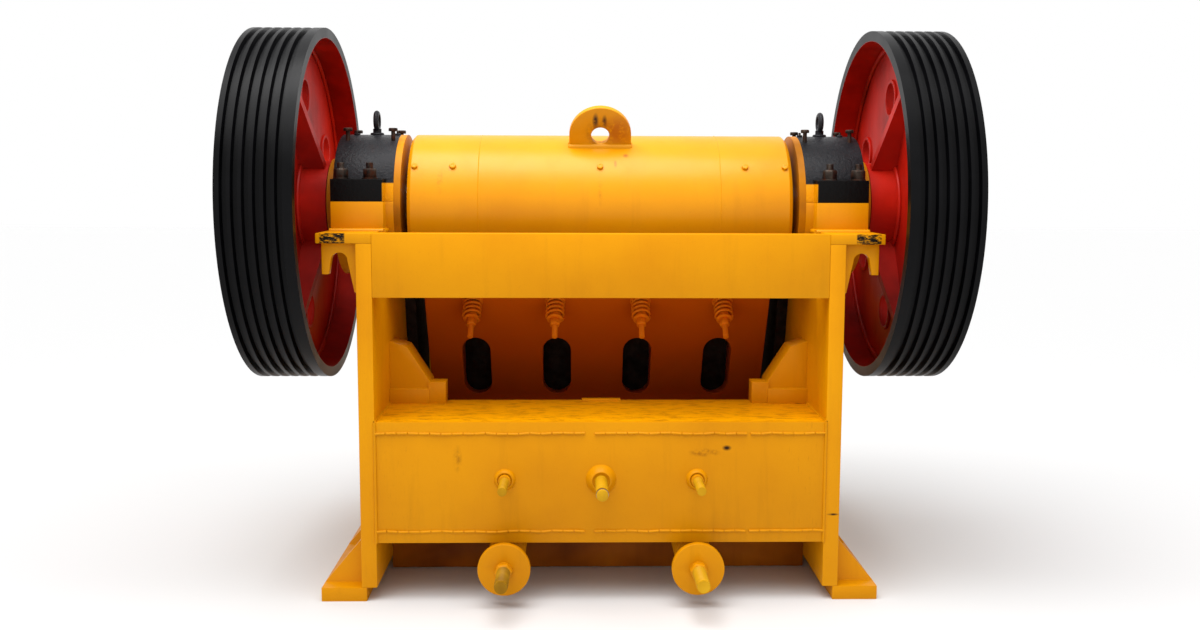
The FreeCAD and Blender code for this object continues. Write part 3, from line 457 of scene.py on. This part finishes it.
def block(name, low, high, edge=2 * MM, segments=2):
    """A plate or bar between two corners, with broken edges."""
    low, high = Vector(low), Vector(high)
    deselect()
    bpy.ops.mesh.primitive_cube_add(size=1, location=(low + high) / 2, scale=high - low)
    piece = fix(fresh(name))
    rounded(piece, edge, segments)
    return piece


def round_bar(name, radius, length, sides=32, edge=1.5 * MM):
    """A bar that stands on the origin along Z, with broken ends."""
    deselect()
    bpy.ops.mesh.primitive_cylinder_add(vertices=sides, radius=radius, depth=length,
                                        location=(0, 0, length / 2))
    piece = fix(fresh(name))
    if edge:
        rounded(piece, edge, 2, 40)
    return piece


def ring(name, outer, inner, height, sides=48, edge=1.2 * MM):
    """A flat ring that stands on the origin, along Z."""
    deselect()
    bpy.ops.mesh.primitive_cylinder_add(vertices=sides, radius=outer, depth=height, location=(0, 0, height / 2))
    piece = fix(fresh(name))
    pick_faces(piece, lambda c, n: abs(n.z) > 0.9)
    bpy.ops.mesh.inset(thickness=outer - inner)
    bpy.ops.mesh.bridge_edge_loops()
    tidy_normals(piece)
    rounded(piece, edge, 2, 40)
    return piece


def hex_nut(name, flats, height, hole=0.5):
    """A hexagon nut or bolt head that stands on the origin, chamfered on top, with a sunk middle."""
    corner = flats / math.sqrt(3)
    chamfer = height * 0.16
    deselect()
    bpy.ops.mesh.primitive_cylinder_add(vertices=6, radius=corner, depth=height - chamfer,
                                        location=(0, 0, (height - chamfer) / 2))
    piece = fix(fresh(name))
    pick_faces(piece, lambda c, n: n.z > 0.9)
    bpy.ops.mesh.extrude_region_move(TRANSFORM_OT_translate={"value": (0, 0, chamfer)})
    bpy.ops.transform.resize(value=(0.86, 0.86, 1), center_override=(0, 0, height))
    if hole:
        bpy.ops.mesh.inset(thickness=flats * 0.5 * 0.86 * (1 - hole))
        bpy.ops.mesh.extrude_region_move(TRANSFORM_OT_translate={"value": (0, 0, -height * 0.12)})
    rest()
    rounded(piece, 0.8 * MM, 1, 25)
    return piece


def ridged(name, core, crest, pitch, length, sides=20):
    """A bar along Z with ridges at a pitch, closed at both ends, for a thread or a weld bead."""
    deselect()
    bpy.ops.mesh.primitive_circle_add(vertices=sides, radius=core, location=(0, 0, 0))
    piece = fix(fresh(name))
    edit(piece)
    bpy.ops.mesh.select_mode(type="VERT")
    bpy.ops.mesh.select_all(action="SELECT")
    for step, radius in ((0.5, crest), (0.5, core)):
        bpy.ops.mesh.extrude_region_move(TRANSFORM_OT_translate={"value": (0, 0, pitch * step)})
        now = radius / (core if radius == crest else crest)
        bpy.ops.transform.resize(value=(now, now, 1), center_override=(0, 0, 0))
    rest()
    modify(piece, "ARRAY", count=max(1, round(length / pitch)), use_relative_offset=False,
           use_constant_offset=True, constant_offset_displace=(0, 0, pitch), use_merge_vertices=True,
           merge_threshold=0.01 * MM)
    top = max(v.co.z for v in piece.data.vertices)
    for level in (0, top):
        pick_edges(piece, lambda a, b: abs(a.z - level) < 1e-6 and abs(b.z - level) < 1e-6)
        bpy.ops.mesh.edge_face_add()
    tidy_normals(piece)
    return piece


def coil(name, middle, wire, turns, length, steps=28):
    """A coil spring along Z from the origin."""
    deselect()
    bpy.ops.mesh.primitive_circle_add(vertices=14, radius=wire / 2, location=(middle, 0, wire / 2),
                                      rotation=(QUARTER, 0, 0))
    piece = fix(fresh(name))
    modify(piece, "SCREW", angle=2 * math.pi, iterations=turns, steps=steps, render_steps=steps,
           screw_offset=(length - wire) / turns, axis="Z", use_merge_vertices=False)
    edit(piece)
    bpy.ops.mesh.select_all(action="DESELECT")
    bpy.ops.mesh.select_mode(type="EDGE")
    bpy.ops.mesh.select_non_manifold()
    bpy.ops.mesh.edge_face_add()
    tidy_normals(piece)
    return piece


def turned_to(direction):
    """The turn that takes +Z to a direction."""
    return UP.rotation_difference(Vector(direction)).to_matrix().to_4x4()


def joined(name, pieces):
    """Several meshes in one piece."""
    rest()
    deselect()
    for piece in pieces:
        piece.select_set(True)
    bpy.context.view_layer.objects.active = pieces[0]
    bpy.ops.object.join()
    return fresh(name)


def spread(name, master, places):
    """Copies of a piece, each at a point and along a direction, joined in one; the first is used up."""
    made = []
    for point, direction, *spin in places:
        alone(master)
        bpy.ops.object.duplicate(linked=False)
        copy = bpy.context.object
        about = Matrix.Rotation(spin[0], 4, "Z") if spin else Matrix.Identity(4)
        copy.matrix_world = Matrix.Translation(Vector(point)) @ turned_to(direction) @ about
        made.append(fix(copy))
    bpy.data.objects.remove(master)
    return joined(name, made)


def coat(piece, *materials):
    """Gives a piece its materials, in place of any it has."""
    piece.data.materials.clear()
    for material in materials:
        piece.data.materials.append(material)
    return piece


def smooth(piece, angle=35):
    """Smooth shading, broken where faces meet at more than an angle."""
    alone(piece)
    bpy.ops.object.shade_smooth_by_angle(angle=math.radians(angle))


def place(piece, body, slot, angle=35):
    """Shades a finished piece and hands it to its body; its slot argument is not used."""
    smooth(piece, angle)
    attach(piece, body)
    return piece


def bolt(name, flats, head, shank_radius, tip=0.0, washer=0.0, head_coat=None, shank_coat=None):
    """Washer, nut and the stud's end above it, on the origin along Z."""
    parts = []
    base = 0.0
    if washer:
        parts.append(coat(ring(name + "_washer", washer, shank_radius, 5 * MM, 32, 0.8 * MM), head_coat))
        base = 5 * MM
    nut = coat(hex_nut(name + "_nut", flats, head, 0.55), head_coat)
    nut.location.z = base
    parts.append(fix(nut))
    if tip:
        stud = coat(ridged(name + "_stud", shank_radius * 0.93, shank_radius, max(4 * MM, shank_radius * 0.22),
                           tip + head * 0.3, 20), shank_coat or head_coat)
        stud.location.z = base + head * 0.7
        parts.append(fix(stud))
    return joined(name, parts)


def softened(node, width, material, segments=2, angle=30):
    """A copy of a CAD node with its edges broken, which stands for it."""
    source = nodes[node]
    piece = bpy.data.objects.new(node + "_finished", source.data.copy())
    bpy.context.scene.collection.objects.link(piece)
    alone(piece)
    bpy.ops.mesh.customdata_custom_splitnormals_clear()
    edit(piece)
    bpy.ops.mesh.select_all(action="SELECT")
    bpy.ops.mesh.remove_doubles(threshold=0.01 * MM)
    bpy.ops.mesh.dissolve_limited(angle_limit=math.radians(0.6))
    rest()
    rounded(piece, width, segments, angle)
    coat(piece, material)
    smooth(piece, 32)
    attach(piece, source["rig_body"])
    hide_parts(node)
    return piece


def clad(node, material):
    """Gives a CAD node its finish."""
    source = nodes[node]
    for index in range(max(1, len(source.data.materials))):
        if index < len(source.data.materials):
            source.data.materials[index] = material
        else:
            source.data.materials.append(material)


# ---------------------------------------------------------------- frame plates

for side in ("left", "right"):
    softened(f"side_plate_{side}", 2 * MM, yellow)
    softened(f"top_flange_{side}", 2 * MM, yellow_flange)
    softened(f"foot_{side}", 2 * MM, yellow_box)
    softened(f"lifting_hook_{side}", 2 * MM, yellow_flange)
    softened(f"guide_bracket_{side}", 3 * MM, yellow_box)
    softened(f"bearing_base_{side}", 4 * MM, yellow_cast)
    softened(f"bearing_cap_{side}", 5 * MM, black_cast, 3)
    clad(f"cheek_plate_{side}", cast_steel)
    clad(f"bearing_{side}", yellow_shaded_bearing)
    clad(f"cap_eye_{side}", black_cast)
    clad(f"flywheel_rim_{side}", rim_paint)
    clad(f"flywheel_web_{side}", red_wheel)
    softened(f"shaft_end_cap_{side}", 3 * MM, red_wheel, 3)
    softened(f"spring_disc_{side}", 2.5 * MM, yellow_box, 3)
    clad(f"tension_rod_{side}", thread_coat)
softened("rear_top_beam", 2.5 * MM, yellow)
softened("toggle_box_beam", 3 * MM, yellow_box)
softened("lower_cross_plate", 2 * MM, yellow_low)
softened("toggle_seat", 3 * MM, yellow_box)
softened("toggle_plate", 4 * MM, cast_steel)
softened("front_wall", 2 * MM, yellow)
softened("front_rib_bottom", 3 * MM, yellow)
softened("front_rib_top", 3 * MM, yellow)
softened("swing_jaw", 6 * MM, yellow_jaw, 3, 40)
softened("barrel_lifting_lug", 2.5 * MM, yellow_lug, 3)
clad("eccentric_shaft", turned_steel)


# ---------------------------------------------------------------- weld beads

def bead(name, start, end, size=9 * MM):
    """A weld bead between two points: a bar with a ripple every few millimetres."""
    start, end = Vector(start), Vector(end)
    run = end - start
    piece = ridged(name, size * 0.86, size, 11 * MM, run.length, 8)
    piece.matrix_world = Matrix.Translation(start) @ turned_to(run)
    return fix(piece)


def beads(name, lines, body, slot, material, size=9 * MM):
    """Several weld beads in one piece."""
    made = [bead(f"{name}_{number}", one, other, size) for number, (one, other) in enumerate(lines)]
    return place(coat(joined(name, made), material), body, slot, 50)


side_low, side_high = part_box("side_plate_right")
inner = side_low.x
beam_low, beam_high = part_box("rear_top_beam")
flange_low, flange_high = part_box("top_flange_right")
base_low, base_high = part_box("bearing_base_right")
cap_low, cap_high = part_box("bearing_cap_right")
wall_low, wall_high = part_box("front_wall")
foot_top = 45 * MM
rear = beam_low.y
ear_out_x = 0.880

for sign, side in ((-1, "left"), (1, "right")):
    x_in = sign * inner
    x_out = sign * side_high.x
    lines = [
        ((x_in, rear, box_low.z), (x_in, rear, box_high.z)),
        ((x_in, rear, box_high.z), (x_in, box_high.y, box_high.z)),
        ((x_in, beam_high.y, beam_low.z), (x_in, beam_high.y, beam_high.z)),
        ((x_out, rear + 40 * MM, flange_low.z), (x_out, -rear - 10 * MM, flange_low.z)),
        ((x_out, rear + 30 * MM, foot_top), (x_out, -rear - 30 * MM, foot_top)),
        ((x_in, wall_high.y, wall_low.z), (x_in, wall_high.y, wall_high.z)),
    ]
    beads(f"frame_welds_{side}", lines, "frame", "yellow_paint", yellow_box, 5.5 * MM)
    ear_in = sign * (base_low.x + 26 * MM)
    ear_out = sign * ear_out_x
    lines = [
        ((ear_in, base_low.y, flange_high.z), (ear_in, base_high.y, flange_high.z)),
        ((ear_out, base_low.y, flange_high.z), (ear_out, base_high.y, flange_high.z)),
        ((ear_in, base_low.y, flange_high.z), (ear_out, base_low.y, flange_high.z)),
        ((ear_in, base_high.y, flange_high.z), (ear_out, base_high.y, flange_high.z)),
    ]
    beads(f"housing_welds_{side}", lines, "frame", "yellow_paint", yellow_cast, 10 * MM)

# the box beam's top plate is welded on along its rear edge, above and below
edge_drop = 38 * MM
lines = []
wobble = random.Random(5)
for start, end in ((-inner, -0.05), (-0.02, 0.47), (0.48, inner)):
    steps = max(2, round((end - start) / (35 * MM)))
    for level in (box_high.z - edge_drop, box_low.z + edge_drop):
        before = Vector((start, rear - 1 * MM, level))
        for step in range(1, steps + 1):
            x = start + (end - start) * step / steps
            out, rise = wobble.uniform(-0.5, 2) * MM, wobble.uniform(-2, 2) * MM
            after = Vector((x, rear - out, level + rise))
            lines.append((before, after))
            before = after
beads("box_beam_welds", lines, "frame", "yellow_paint", yellow_box, 5 * MM)
pad = block("box_top_pad", (-0.06, box_high.y - 30 * MM, box_high.z - 1 * MM),
            (0.076, box_high.y - 2 * MM, box_high.z + 7 * MM), 2 * MM)
place(coat(pad, yellow_box), "frame", "yellow_paint")

# the lug stands in a smooth fillet on the barrel, front and rear
lug_lean = math.radians(31)
half_turn = math.asin(11 * MM / BARREL_RADIUS)
fillet_run = 0.218
fillet_seat = BARREL_RADIUS - 1.5 * MM
fillets = []
for number, turn in enumerate((lug_lean + half_turn, lug_lean - half_turn)):
    y = JAW_AXIS.y - fillet_seat * math.sin(turn)
    z = JAW_AXIS.z + fillet_seat * math.cos(turn)
    bar = round_bar(f"lug_fillet_{number}", 11 * MM, fillet_run, 24, 10 * MM)
    bar.matrix_world = Matrix.Translation((-fillet_run / 2, y, z)) @ turned_to((1, 0, 0))
    fillets.append(fix(bar))
place(coat(joined("lug_fillets", fillets), yellow_jaw), "jaw", "yellow_paint", 60)


# ---------------------------------------------------------------- bearing caps and covers

ear_top = cap_low.z + 73 * MM
for sign, side in ((-1, "left"), (1, "right")):
    big = bolt("cap_stud", 42 * MM, 30 * MM, 12 * MM, 18 * MM, 25 * MM, dark_steel, dark_steel)
    spots = [
        (Vector((sign * x, SHAFT.y + y, ear_top - 0.5 * MM)), UP, 0.3 + 4 * x)
        for x in (0.755, 0.849) for y in (-0.262, 0.262)
    ]
    place(spread(f"cap_nuts_{side}", big, spots), "frame", "black_paint")
    shank = coat(round_bar("crown_shank", 7 * MM, 46 * MM, 20, 0), dark_steel)
    head = coat(hex_nut("crown_head", 27 * MM, 11 * MM, 0), dark_steel)
    head.location.z = 38 * MM
    crown_bolt = joined("crown_bolt", [shank, fix(head)])
    crown = []
    for x, y in ((0.701, -0.1), (0.854, -0.1), (0.701, 0.1), (0.854, 0.1)):
        top = SHAFT.z + math.sqrt(HOUSING_RADIUS ** 2 - y ** 2)
        crown.append((Vector((sign * x, SHAFT.y + y, top - 8 * MM)), UP, x * 7))
    place(spread(f"crown_bolts_{side}", crown_bolt, crown), "frame", "black_paint")
    boss = coat(round_bar("boss", 10 * MM, 9 * MM, 24, 3 * MM), black_cast)
    nipple = coat(round_bar("nipple", 4 * MM, 17 * MM, 16, 2 * MM), dark_steel)
    grease = joined("grease", [boss, nipple])
    place(spread(f"grease_nipples_{side}", grease, [
        (Vector((sign * x, SHAFT.y - 0.03, cap_high.z - 5 * MM)), UP) for x in (0.836, 0.696)
    ]), "frame", "black_paint")
    seat = coat(round_bar("eye_seat", 24 * MM, 10 * MM, 32, 5 * MM), black_cast)
    place(spread(f"cap_eye_seat_{side}", seat, [
        (Vector((sign * 0.771, SHAFT.y, cap_high.z - 3 * MM)), UP)]), "frame", "black_paint")


# ---------------------------------------------------------------- flywheels

SIXTH_TURNS = [math.radians(60 * number) for number in range(6)]
HOLE_CIRCLE = 0.372
BOLT_CIRCLE = 0.07
rim_low, rim_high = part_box("flywheel_rim_right")
wheel_middle = (rim_low.x + rim_high.x) / 2
web_faces = ((-24 * MM, -1), (24 * MM, 1))      # a little under the web's skin, and which way each looks


def on_circle(sign, x, radius, turn=0.0):
    """A point at a distance from the middle of the machine, round the shaft."""
    return Vector((sign * x, SHAFT.y + radius * math.sin(turn), SHAFT.z + radius * math.cos(turn)))


for sign, side in ((-1, "left"), (1, "right")):
    collar = coat(ring("hole_collar", 0.067, 0.0552, 9 * MM, 40, 2.5 * MM), red_wheel)
    place(spread(f"hole_collars_{side}", collar, [
        (on_circle(sign, wheel_middle + depth, HOLE_CIRCLE, turn), (sign * way, 0, 0))
        for turn in SIXTH_TURNS for depth, way in web_faces
    ]), "shaft", "red_paint")
    for name, outer, inside, height, sides, edge in (("hub_fillet", 0.166, 0.1495, 13 * MM, 72, 9 * MM),
                                                     ("rim_fillet", 0.5664, 0.548, 12 * MM, 120, 6 * MM)):
        fillet = coat(ring(name, outer, inside, height, sides, edge), red_wheel)
        place(spread(f"{name}s_{side}", fillet, [
            (on_circle(sign, wheel_middle + depth, 0), (sign * way, 0, 0)) for depth, way in web_faces
        ]), "shaft", "red_paint")
    end = bolt("end_bolt", 30 * MM, 16 * MM, 10 * MM, 0, 18 * MM, dark_steel)
    place(spread(f"end_bolts_{side}", end, [
        (on_circle(sign, CAD_BOX[1][0], BOLT_CIRCLE, turn), (sign, 0, 0), turn) for turn in SIXTH_TURNS
    ]), "shaft", "machined_steel")


# ---------------------------------------------------------------- toggle beam, tension rods and springs

def dished(name, radius, top, height, material):
    """A round cup washer on the origin: a cone with a flat, sunk top."""
    cup = round_bar(name, radius, height, 40, 0)
    pick_faces(cup, lambda c, n: n.z > 0.9)
    bpy.ops.transform.resize(value=(top / radius, top / radius, 1), center_override=(0, 0, height))
    bpy.ops.mesh.inset(thickness=4 * MM)
    bpy.ops.mesh.extrude_region_move(TRANSFORM_OT_translate={"value": (0, 0, -4 * MM)})
    rest()
    rounded(cup, 1.6 * MM, 2, 25)
    return coat(cup, material)


center = (box_low.z + box_high.z) / 2 + 10.5 * MM
stud = coat(ridged("adjuster", 13.4 * MM, 14.6 * MM, 4 * MM, 0.15, 24), thread_coat)
cup = dished("adjuster_cup", 36 * MM, 27 * MM, 14 * MM, yellow_box)
collar = coat(round_bar("adjuster_collar", 20 * MM, 19 * MM, 32, 3 * MM), yellow_box)
collar.location.z = 9 * MM
side_stud = joined("side_stud", [stud, cup, fix(collar)])
place(spread("box_side_studs", side_stud, [
    (Vector((x, rear + 1 * MM, center)), REARWARD, x) for x in (-0.309, 0.309)]), "frame", "yellow_paint")
stud = coat(ridged("middle_stud", 18.6 * MM, 19.6 * MM, 5 * MM, 0.165, 28), thread_coat)
worn = coat(ring("middle_worn", 19.8 * MM, 17 * MM, 13 * MM, 28, 1 * MM), turned_steel)
worn.location.z = 0.178
tip = coat(round_bar("middle_tip", 18.6 * MM, 40 * MM, 28, 3 * MM), thread_coat)
tip.location.z = 0.16
cup = dished("middle_cup", 50 * MM, 31 * MM, 26 * MM, yellow_box)
middle_stud = joined("middle_stud_set", [stud, cup, fix(worn), fix(tip)])
place(spread("box_middle_stud", middle_stud, [
    (Vector((0.0, rear + 1 * MM, center)), REARWARD)]), "frame", "yellow_paint")

for sign, side in ((-1, "left"), (1, "right")):
    disc_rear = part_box(f"spring_disc_{side}")[0].y
    rod_low, rod_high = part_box(f"tension_rod_{side}")
    x = (rod_low.x + rod_high.x) / 2
    z = (rod_low.z + rod_high.z) / 2
    thread = coat(ridged("rod_thread", 19.4 * MM, 21.5 * MM, 5.5 * MM, 0.155, 24), thread_coat)
    first = coat(hex_nut("disc_nut", 50 * MM, 26 * MM, 0.8), yellow_box)
    plate = coat(ring("disc_washer", 27 * MM, 20.5 * MM, 4 * MM, 40, 1 * MM), yellow_box)
    first.location.z = 4 * MM
    end_set = joined("rod_end", [thread, fix(first), plate])
    place(spread(f"rod_end_{side}", end_set, [
        (Vector((x, disc_rear + 0.5 * MM, z)), REARWARD, 0.4 * sign)]), "jaw", "yellow_paint")
    spring_low, spring_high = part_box(f"tension_spring_{side}")
    wire = 21 * MM
    length = spring_high.y - spring_low.y
    spring = coil("spring", 62 * MM - wire / 2, wire, 10, length)
    coat(spring, yellow_box)
    spring = spread(f"coil_spring_{side}", spring, [(Vector((x, spring_low.y, z)), (0, 1, 0))])
    place(spring, "frame", "yellow_paint", 60)
    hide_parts(f"tension_spring_{side}")


# ---------------------------------------------------------------- jaw

BOLT_LEAN = Vector((0, -1, -1)).normalized()
parts = []
foot = round_bar("bolt_foot", 38 * MM, 30 * MM, 40, 3 * MM)
foot.location.z = -24 * MM
parts.append(coat(fix(foot), orange_bolt))
spring = coil("bolt_spring", 30 * MM, 10 * MM, 4, 84 * MM, 24)
parts.append(coat(spring, orange_bolt))
core = round_bar("bolt_core", 20 * MM, 80 * MM, 32, 0)
parts.append(coat(core, orange_bolt))
cap = coat(round_bar("bolt_cap", 29 * MM, 8 * MM, 40, 2 * MM), orange_bolt)
cap.location.z = 80 * MM
parts.append(fix(cap))
nut = coat(hex_nut("jaw_nut", 34 * MM, 28 * MM, 0.6), orange_bolt)
nut.location.z = 87 * MM
parts.append(fix(nut))
tip = coat(ridged("jaw_stud", 9.4 * MM, 10.4 * MM, 4 * MM, 60 * MM, 20), orange_bolt)
tip.location.z = 108 * MM
parts.append(fix(tip))
set_of = joined("jaw_bolt", parts)
bolt_row = Vector((0, -0.057076, 0.917))      # where the bolts leave the jaw's back
place(spread("jaw_plate_bolts", set_of, [
    (bolt_row + Vector((x, 0, 0)), BOLT_LEAN, x) for x in (-0.460, -0.157, 0.157, 0.460)
]), "jaw", "yellow_paint", 50)

plug = coat(hex_nut("plug", 20 * MM, 9 * MM, 0.5), yellow_cast)
plug_turn = math.radians(56)
radial = Vector((0, -math.sin(plug_turn), math.cos(plug_turn)))
barrel_skin = BARREL_RADIUS - 0.5 * MM
place(spread("barrel_plugs", plug, [
    (JAW_AXIS + radial * barrel_skin + Vector((x, 0, 0)), radial, x * 3)
    for x in (-0.617, -0.490, -0.001, 0.482, 0.615)
]), "jaw", "yellow_paint")
for number, x in enumerate((-0.405, 0.399)):
    deselect()
    bpy.ops.mesh.primitive_torus_add(major_segments=120, minor_segments=10,
                                     major_radius=BARREL_RADIUS - 1.6 * MM,
                                     minor_radius=2.6 * MM, location=(0, 0, 0))
    seam = fix(fresh("seam"))
    pick_points(seam, lambda p: p.xy.length > barrel_skin)
    bpy.ops.transform.resize(value=(1, 1, 0.6), center_override=(0, 0, 0))
    rest()
    coat(seam, yellow_cast)
    seam = spread(f"barrel_seam_{number + 1}", seam, [(JAW_AXIS + Vector((x, 0, 0)), (1, 0, 0))])
    place(seam, "jaw", "yellow_paint")


TEETH = 17
PLATE_DEPTH = 74 * MM
seat_gap = 0.5 * MM + PLATE_DEPTH * 2 / 3


def toothed_plate(name, node):
    """Jaw plate with upright teeth: a sheet whose columns are pushed out in turn, then given its back.
    It is one high and three deep, and the width of its node; two thirds of its depth are in front."""
    low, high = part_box(node)
    deselect()
    bpy.ops.mesh.primitive_grid_add(x_subdivisions=TEETH * 4, y_subdivisions=2, size=1,
                                    rotation=(QUARTER, 0, 0), scale=(1, 1, 1))
    sheet = fix(fresh(name))
    pick_points(sheet, lambda p: round((p.x + 0.5) * TEETH * 4) % 4 in (2, 3))
    bpy.ops.transform.translate(value=(0, -1, 0))
    edit(sheet)
    bpy.ops.mesh.select_all(action="SELECT")
    bpy.ops.mesh.extrude_region_move(TRANSFORM_OT_translate={"value": (0, 3, 0)})
    bpy.ops.transform.resize(value=(1, 0, 1), center_override=(0, 2, 0))
    rest()
    sheet.scale = (high.x - low.x, PLATE_DEPTH / 3, 1)
    return sheet, low, high


def hang_plate(sheet, body, node):
    """Finishes a toothed plate and puts it in its node's place."""
    fix(sheet)
    tidy_normals(sheet)
    rounded(sheet, 6 * MM, 3, 20)
    place(coat(sheet, cast_steel), body, "wear_steel", 50)
    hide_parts(node)


sheet, low_corner, high_corner = toothed_plate("fixed_plate_teeth", "fixed_jaw_plate")
sheet.scale.z = high_corner.z - low_corner.z
sheet.location = (0, high_corner.y - seat_gap, (low_corner.z + high_corner.z) / 2)
hang_plate(sheet, "frame", "fixed_jaw_plate")

# the moving plate leans with the jaw's front
sheet, low_corner, high_corner = toothed_plate("moving_plate_teeth", "moving_jaw_plate")
rise = high_corner.z - low_corner.z
run = 0.240
tilt = math.atan2(run, rise)
sheet.scale.z = math.hypot(run, rise) - 22 * MM
front = Vector((0, math.cos(tilt), math.sin(tilt)))
middle = Vector((0, low_corner.y + run / 2, (low_corner.z + high_corner.z) / 2)) + front * seat_gap
sheet.matrix_world = (Matrix.Translation(middle) @ Matrix.Rotation(tilt, 4, "X")
                      @ Matrix.Rotation(math.pi, 4, "Z") @ Matrix.Diagonal((*sheet.scale, 1)))
hang_plate(sheet, "jaw", "moving_jaw_plate")


# ---------------------------------------------------------------- front wall and cheeks

rib_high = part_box("front_rib_bottom")[1]
top_rib_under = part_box("front_rib_top")[0].z
sunk = 0.5 * MM
gussets = []
for number, x in enumerate((-0.48, -0.16, 0.16, 0.48)):
    gussets.append(block(f"gusset_{number}", (x - 15 * MM, wall_high.y - sunk, rib_high.z - sunk),
                         (x + 15 * MM, rib_high.y - 8 * MM, top_rib_under + sunk), 2.5 * MM))
place(coat(joined("front_gussets", gussets), yellow), "frame", "yellow_paint")
middle_z = (rib_high.z + top_rib_under) / 2
stiffener = block("front_middle_rib", (-inner + 1 * MM, wall_high.y - sunk, middle_z - 20 * MM),
                  (inner - 1 * MM, rib_high.y - 4 * MM, middle_z + 20 * MM), 3 * MM)
place(coat(stiffener, yellow), "frame", "yellow_paint")
for sign, side in ((-1, "left"), (1, "right")):
    nut_set = bolt("cheek_nut", 46 * MM, 24 * MM, 14 * MM, 14 * MM, 30 * MM, yellow_box, yellow_box)
    spots = [(Vector((sign * (side_high.x - 1 * MM), y, z)), (sign, 0, 0), y * 9)
             for y, z in ((0.16, 0.98), (0.38, 0.98), (0.26, 0.56), (0.38, 0.56))]
    place(spread(f"cheek_nuts_{side}", nut_set, spots), "frame", "yellow_paint")


# ---------------------------------------------------------------- studio

def hung(lamp, at, aim):
    """Hangs a lamp at a point, turned to another."""
    light = bpy.data.objects.new(lamp.name, lamp)
    light.location = at
    light.rotation_euler = (Vector(aim) - Vector(at)).to_track_quat("-Z", "Y").to_euler()
    bpy.context.scene.collection.objects.link(light)


def studio():
    """Pale floor, white surroundings and soft lights."""
    deselect()
    bpy.ops.mesh.primitive_plane_add(size=60, location=(0, 0, 0))
    floor = fresh("floor")
    made, _, shader, _ = surface("White floor, matt", 0.0, 0.9, 1.3)
    shader.inputs["Base Color"].default_value = paint("#D0D0D0")
    floor.data.materials.append(made)
    world = bpy.data.worlds.new("studio")
    bpy.context.scene.world = world
    world.use_nodes = True
    sky = world.node_tree.nodes["Background"]
    sky.inputs["Color"].default_value = (1, 1, 1, 1)
    sky.inputs["Strength"].default_value = 1.0
    high_light = bpy.data.lights.new("high_light", "SUN")
    high_light.energy = 1.9
    high_light.angle = math.radians(50)
    hung(high_light, (-1.0, -1.4, 4.4), (0, 0, 0))
    top_light = bpy.data.lights.new("top_light", "AREA")
    top_light.shape = "RECTANGLE"
    top_light.size, top_light.size_y = 2.4, 1.0
    top_light.energy = 42
    hung(top_light, (-0.2, -0.9, 3.1), (-0.05, -0.3, 1.4))
    bpy.context.scene.view_settings.view_transform = "Standard"


def camera():
    """A camera behind the machine, a little left of its middle and above the shaft, looking slightly down."""
    yaw, pitch, roll = 0.0222, 0.1130, 0.0035
    ahead = Vector((math.sin(yaw) * math.cos(pitch), math.cos(yaw) * math.cos(pitch), -math.sin(pitch)))
    right = Vector((math.cos(yaw), -math.sin(yaw), 0))
    above = right.cross(ahead)
    across = right * math.cos(roll) + above * math.sin(roll)
    upward = above * math.cos(roll) - right * math.sin(roll)
    lens = bpy.data.cameras.new("camera")
    lens.sensor_width = 36
    lens.lens = 35.36
    lens.clip_end = 200
    made = bpy.data.objects.new("camera", lens)
    bpy.context.scene.collection.objects.link(made)
    spot = SHAFT + Vector((-0.0874, -4.1558, 0.0832))
    turn = Matrix((across, upward, -ahead)).transposed().to_4x4()
    made.matrix_world = Matrix.Translation(spot) @ turn
    bpy.context.scene.camera = made


studio()
camera()
rest()
deselect()
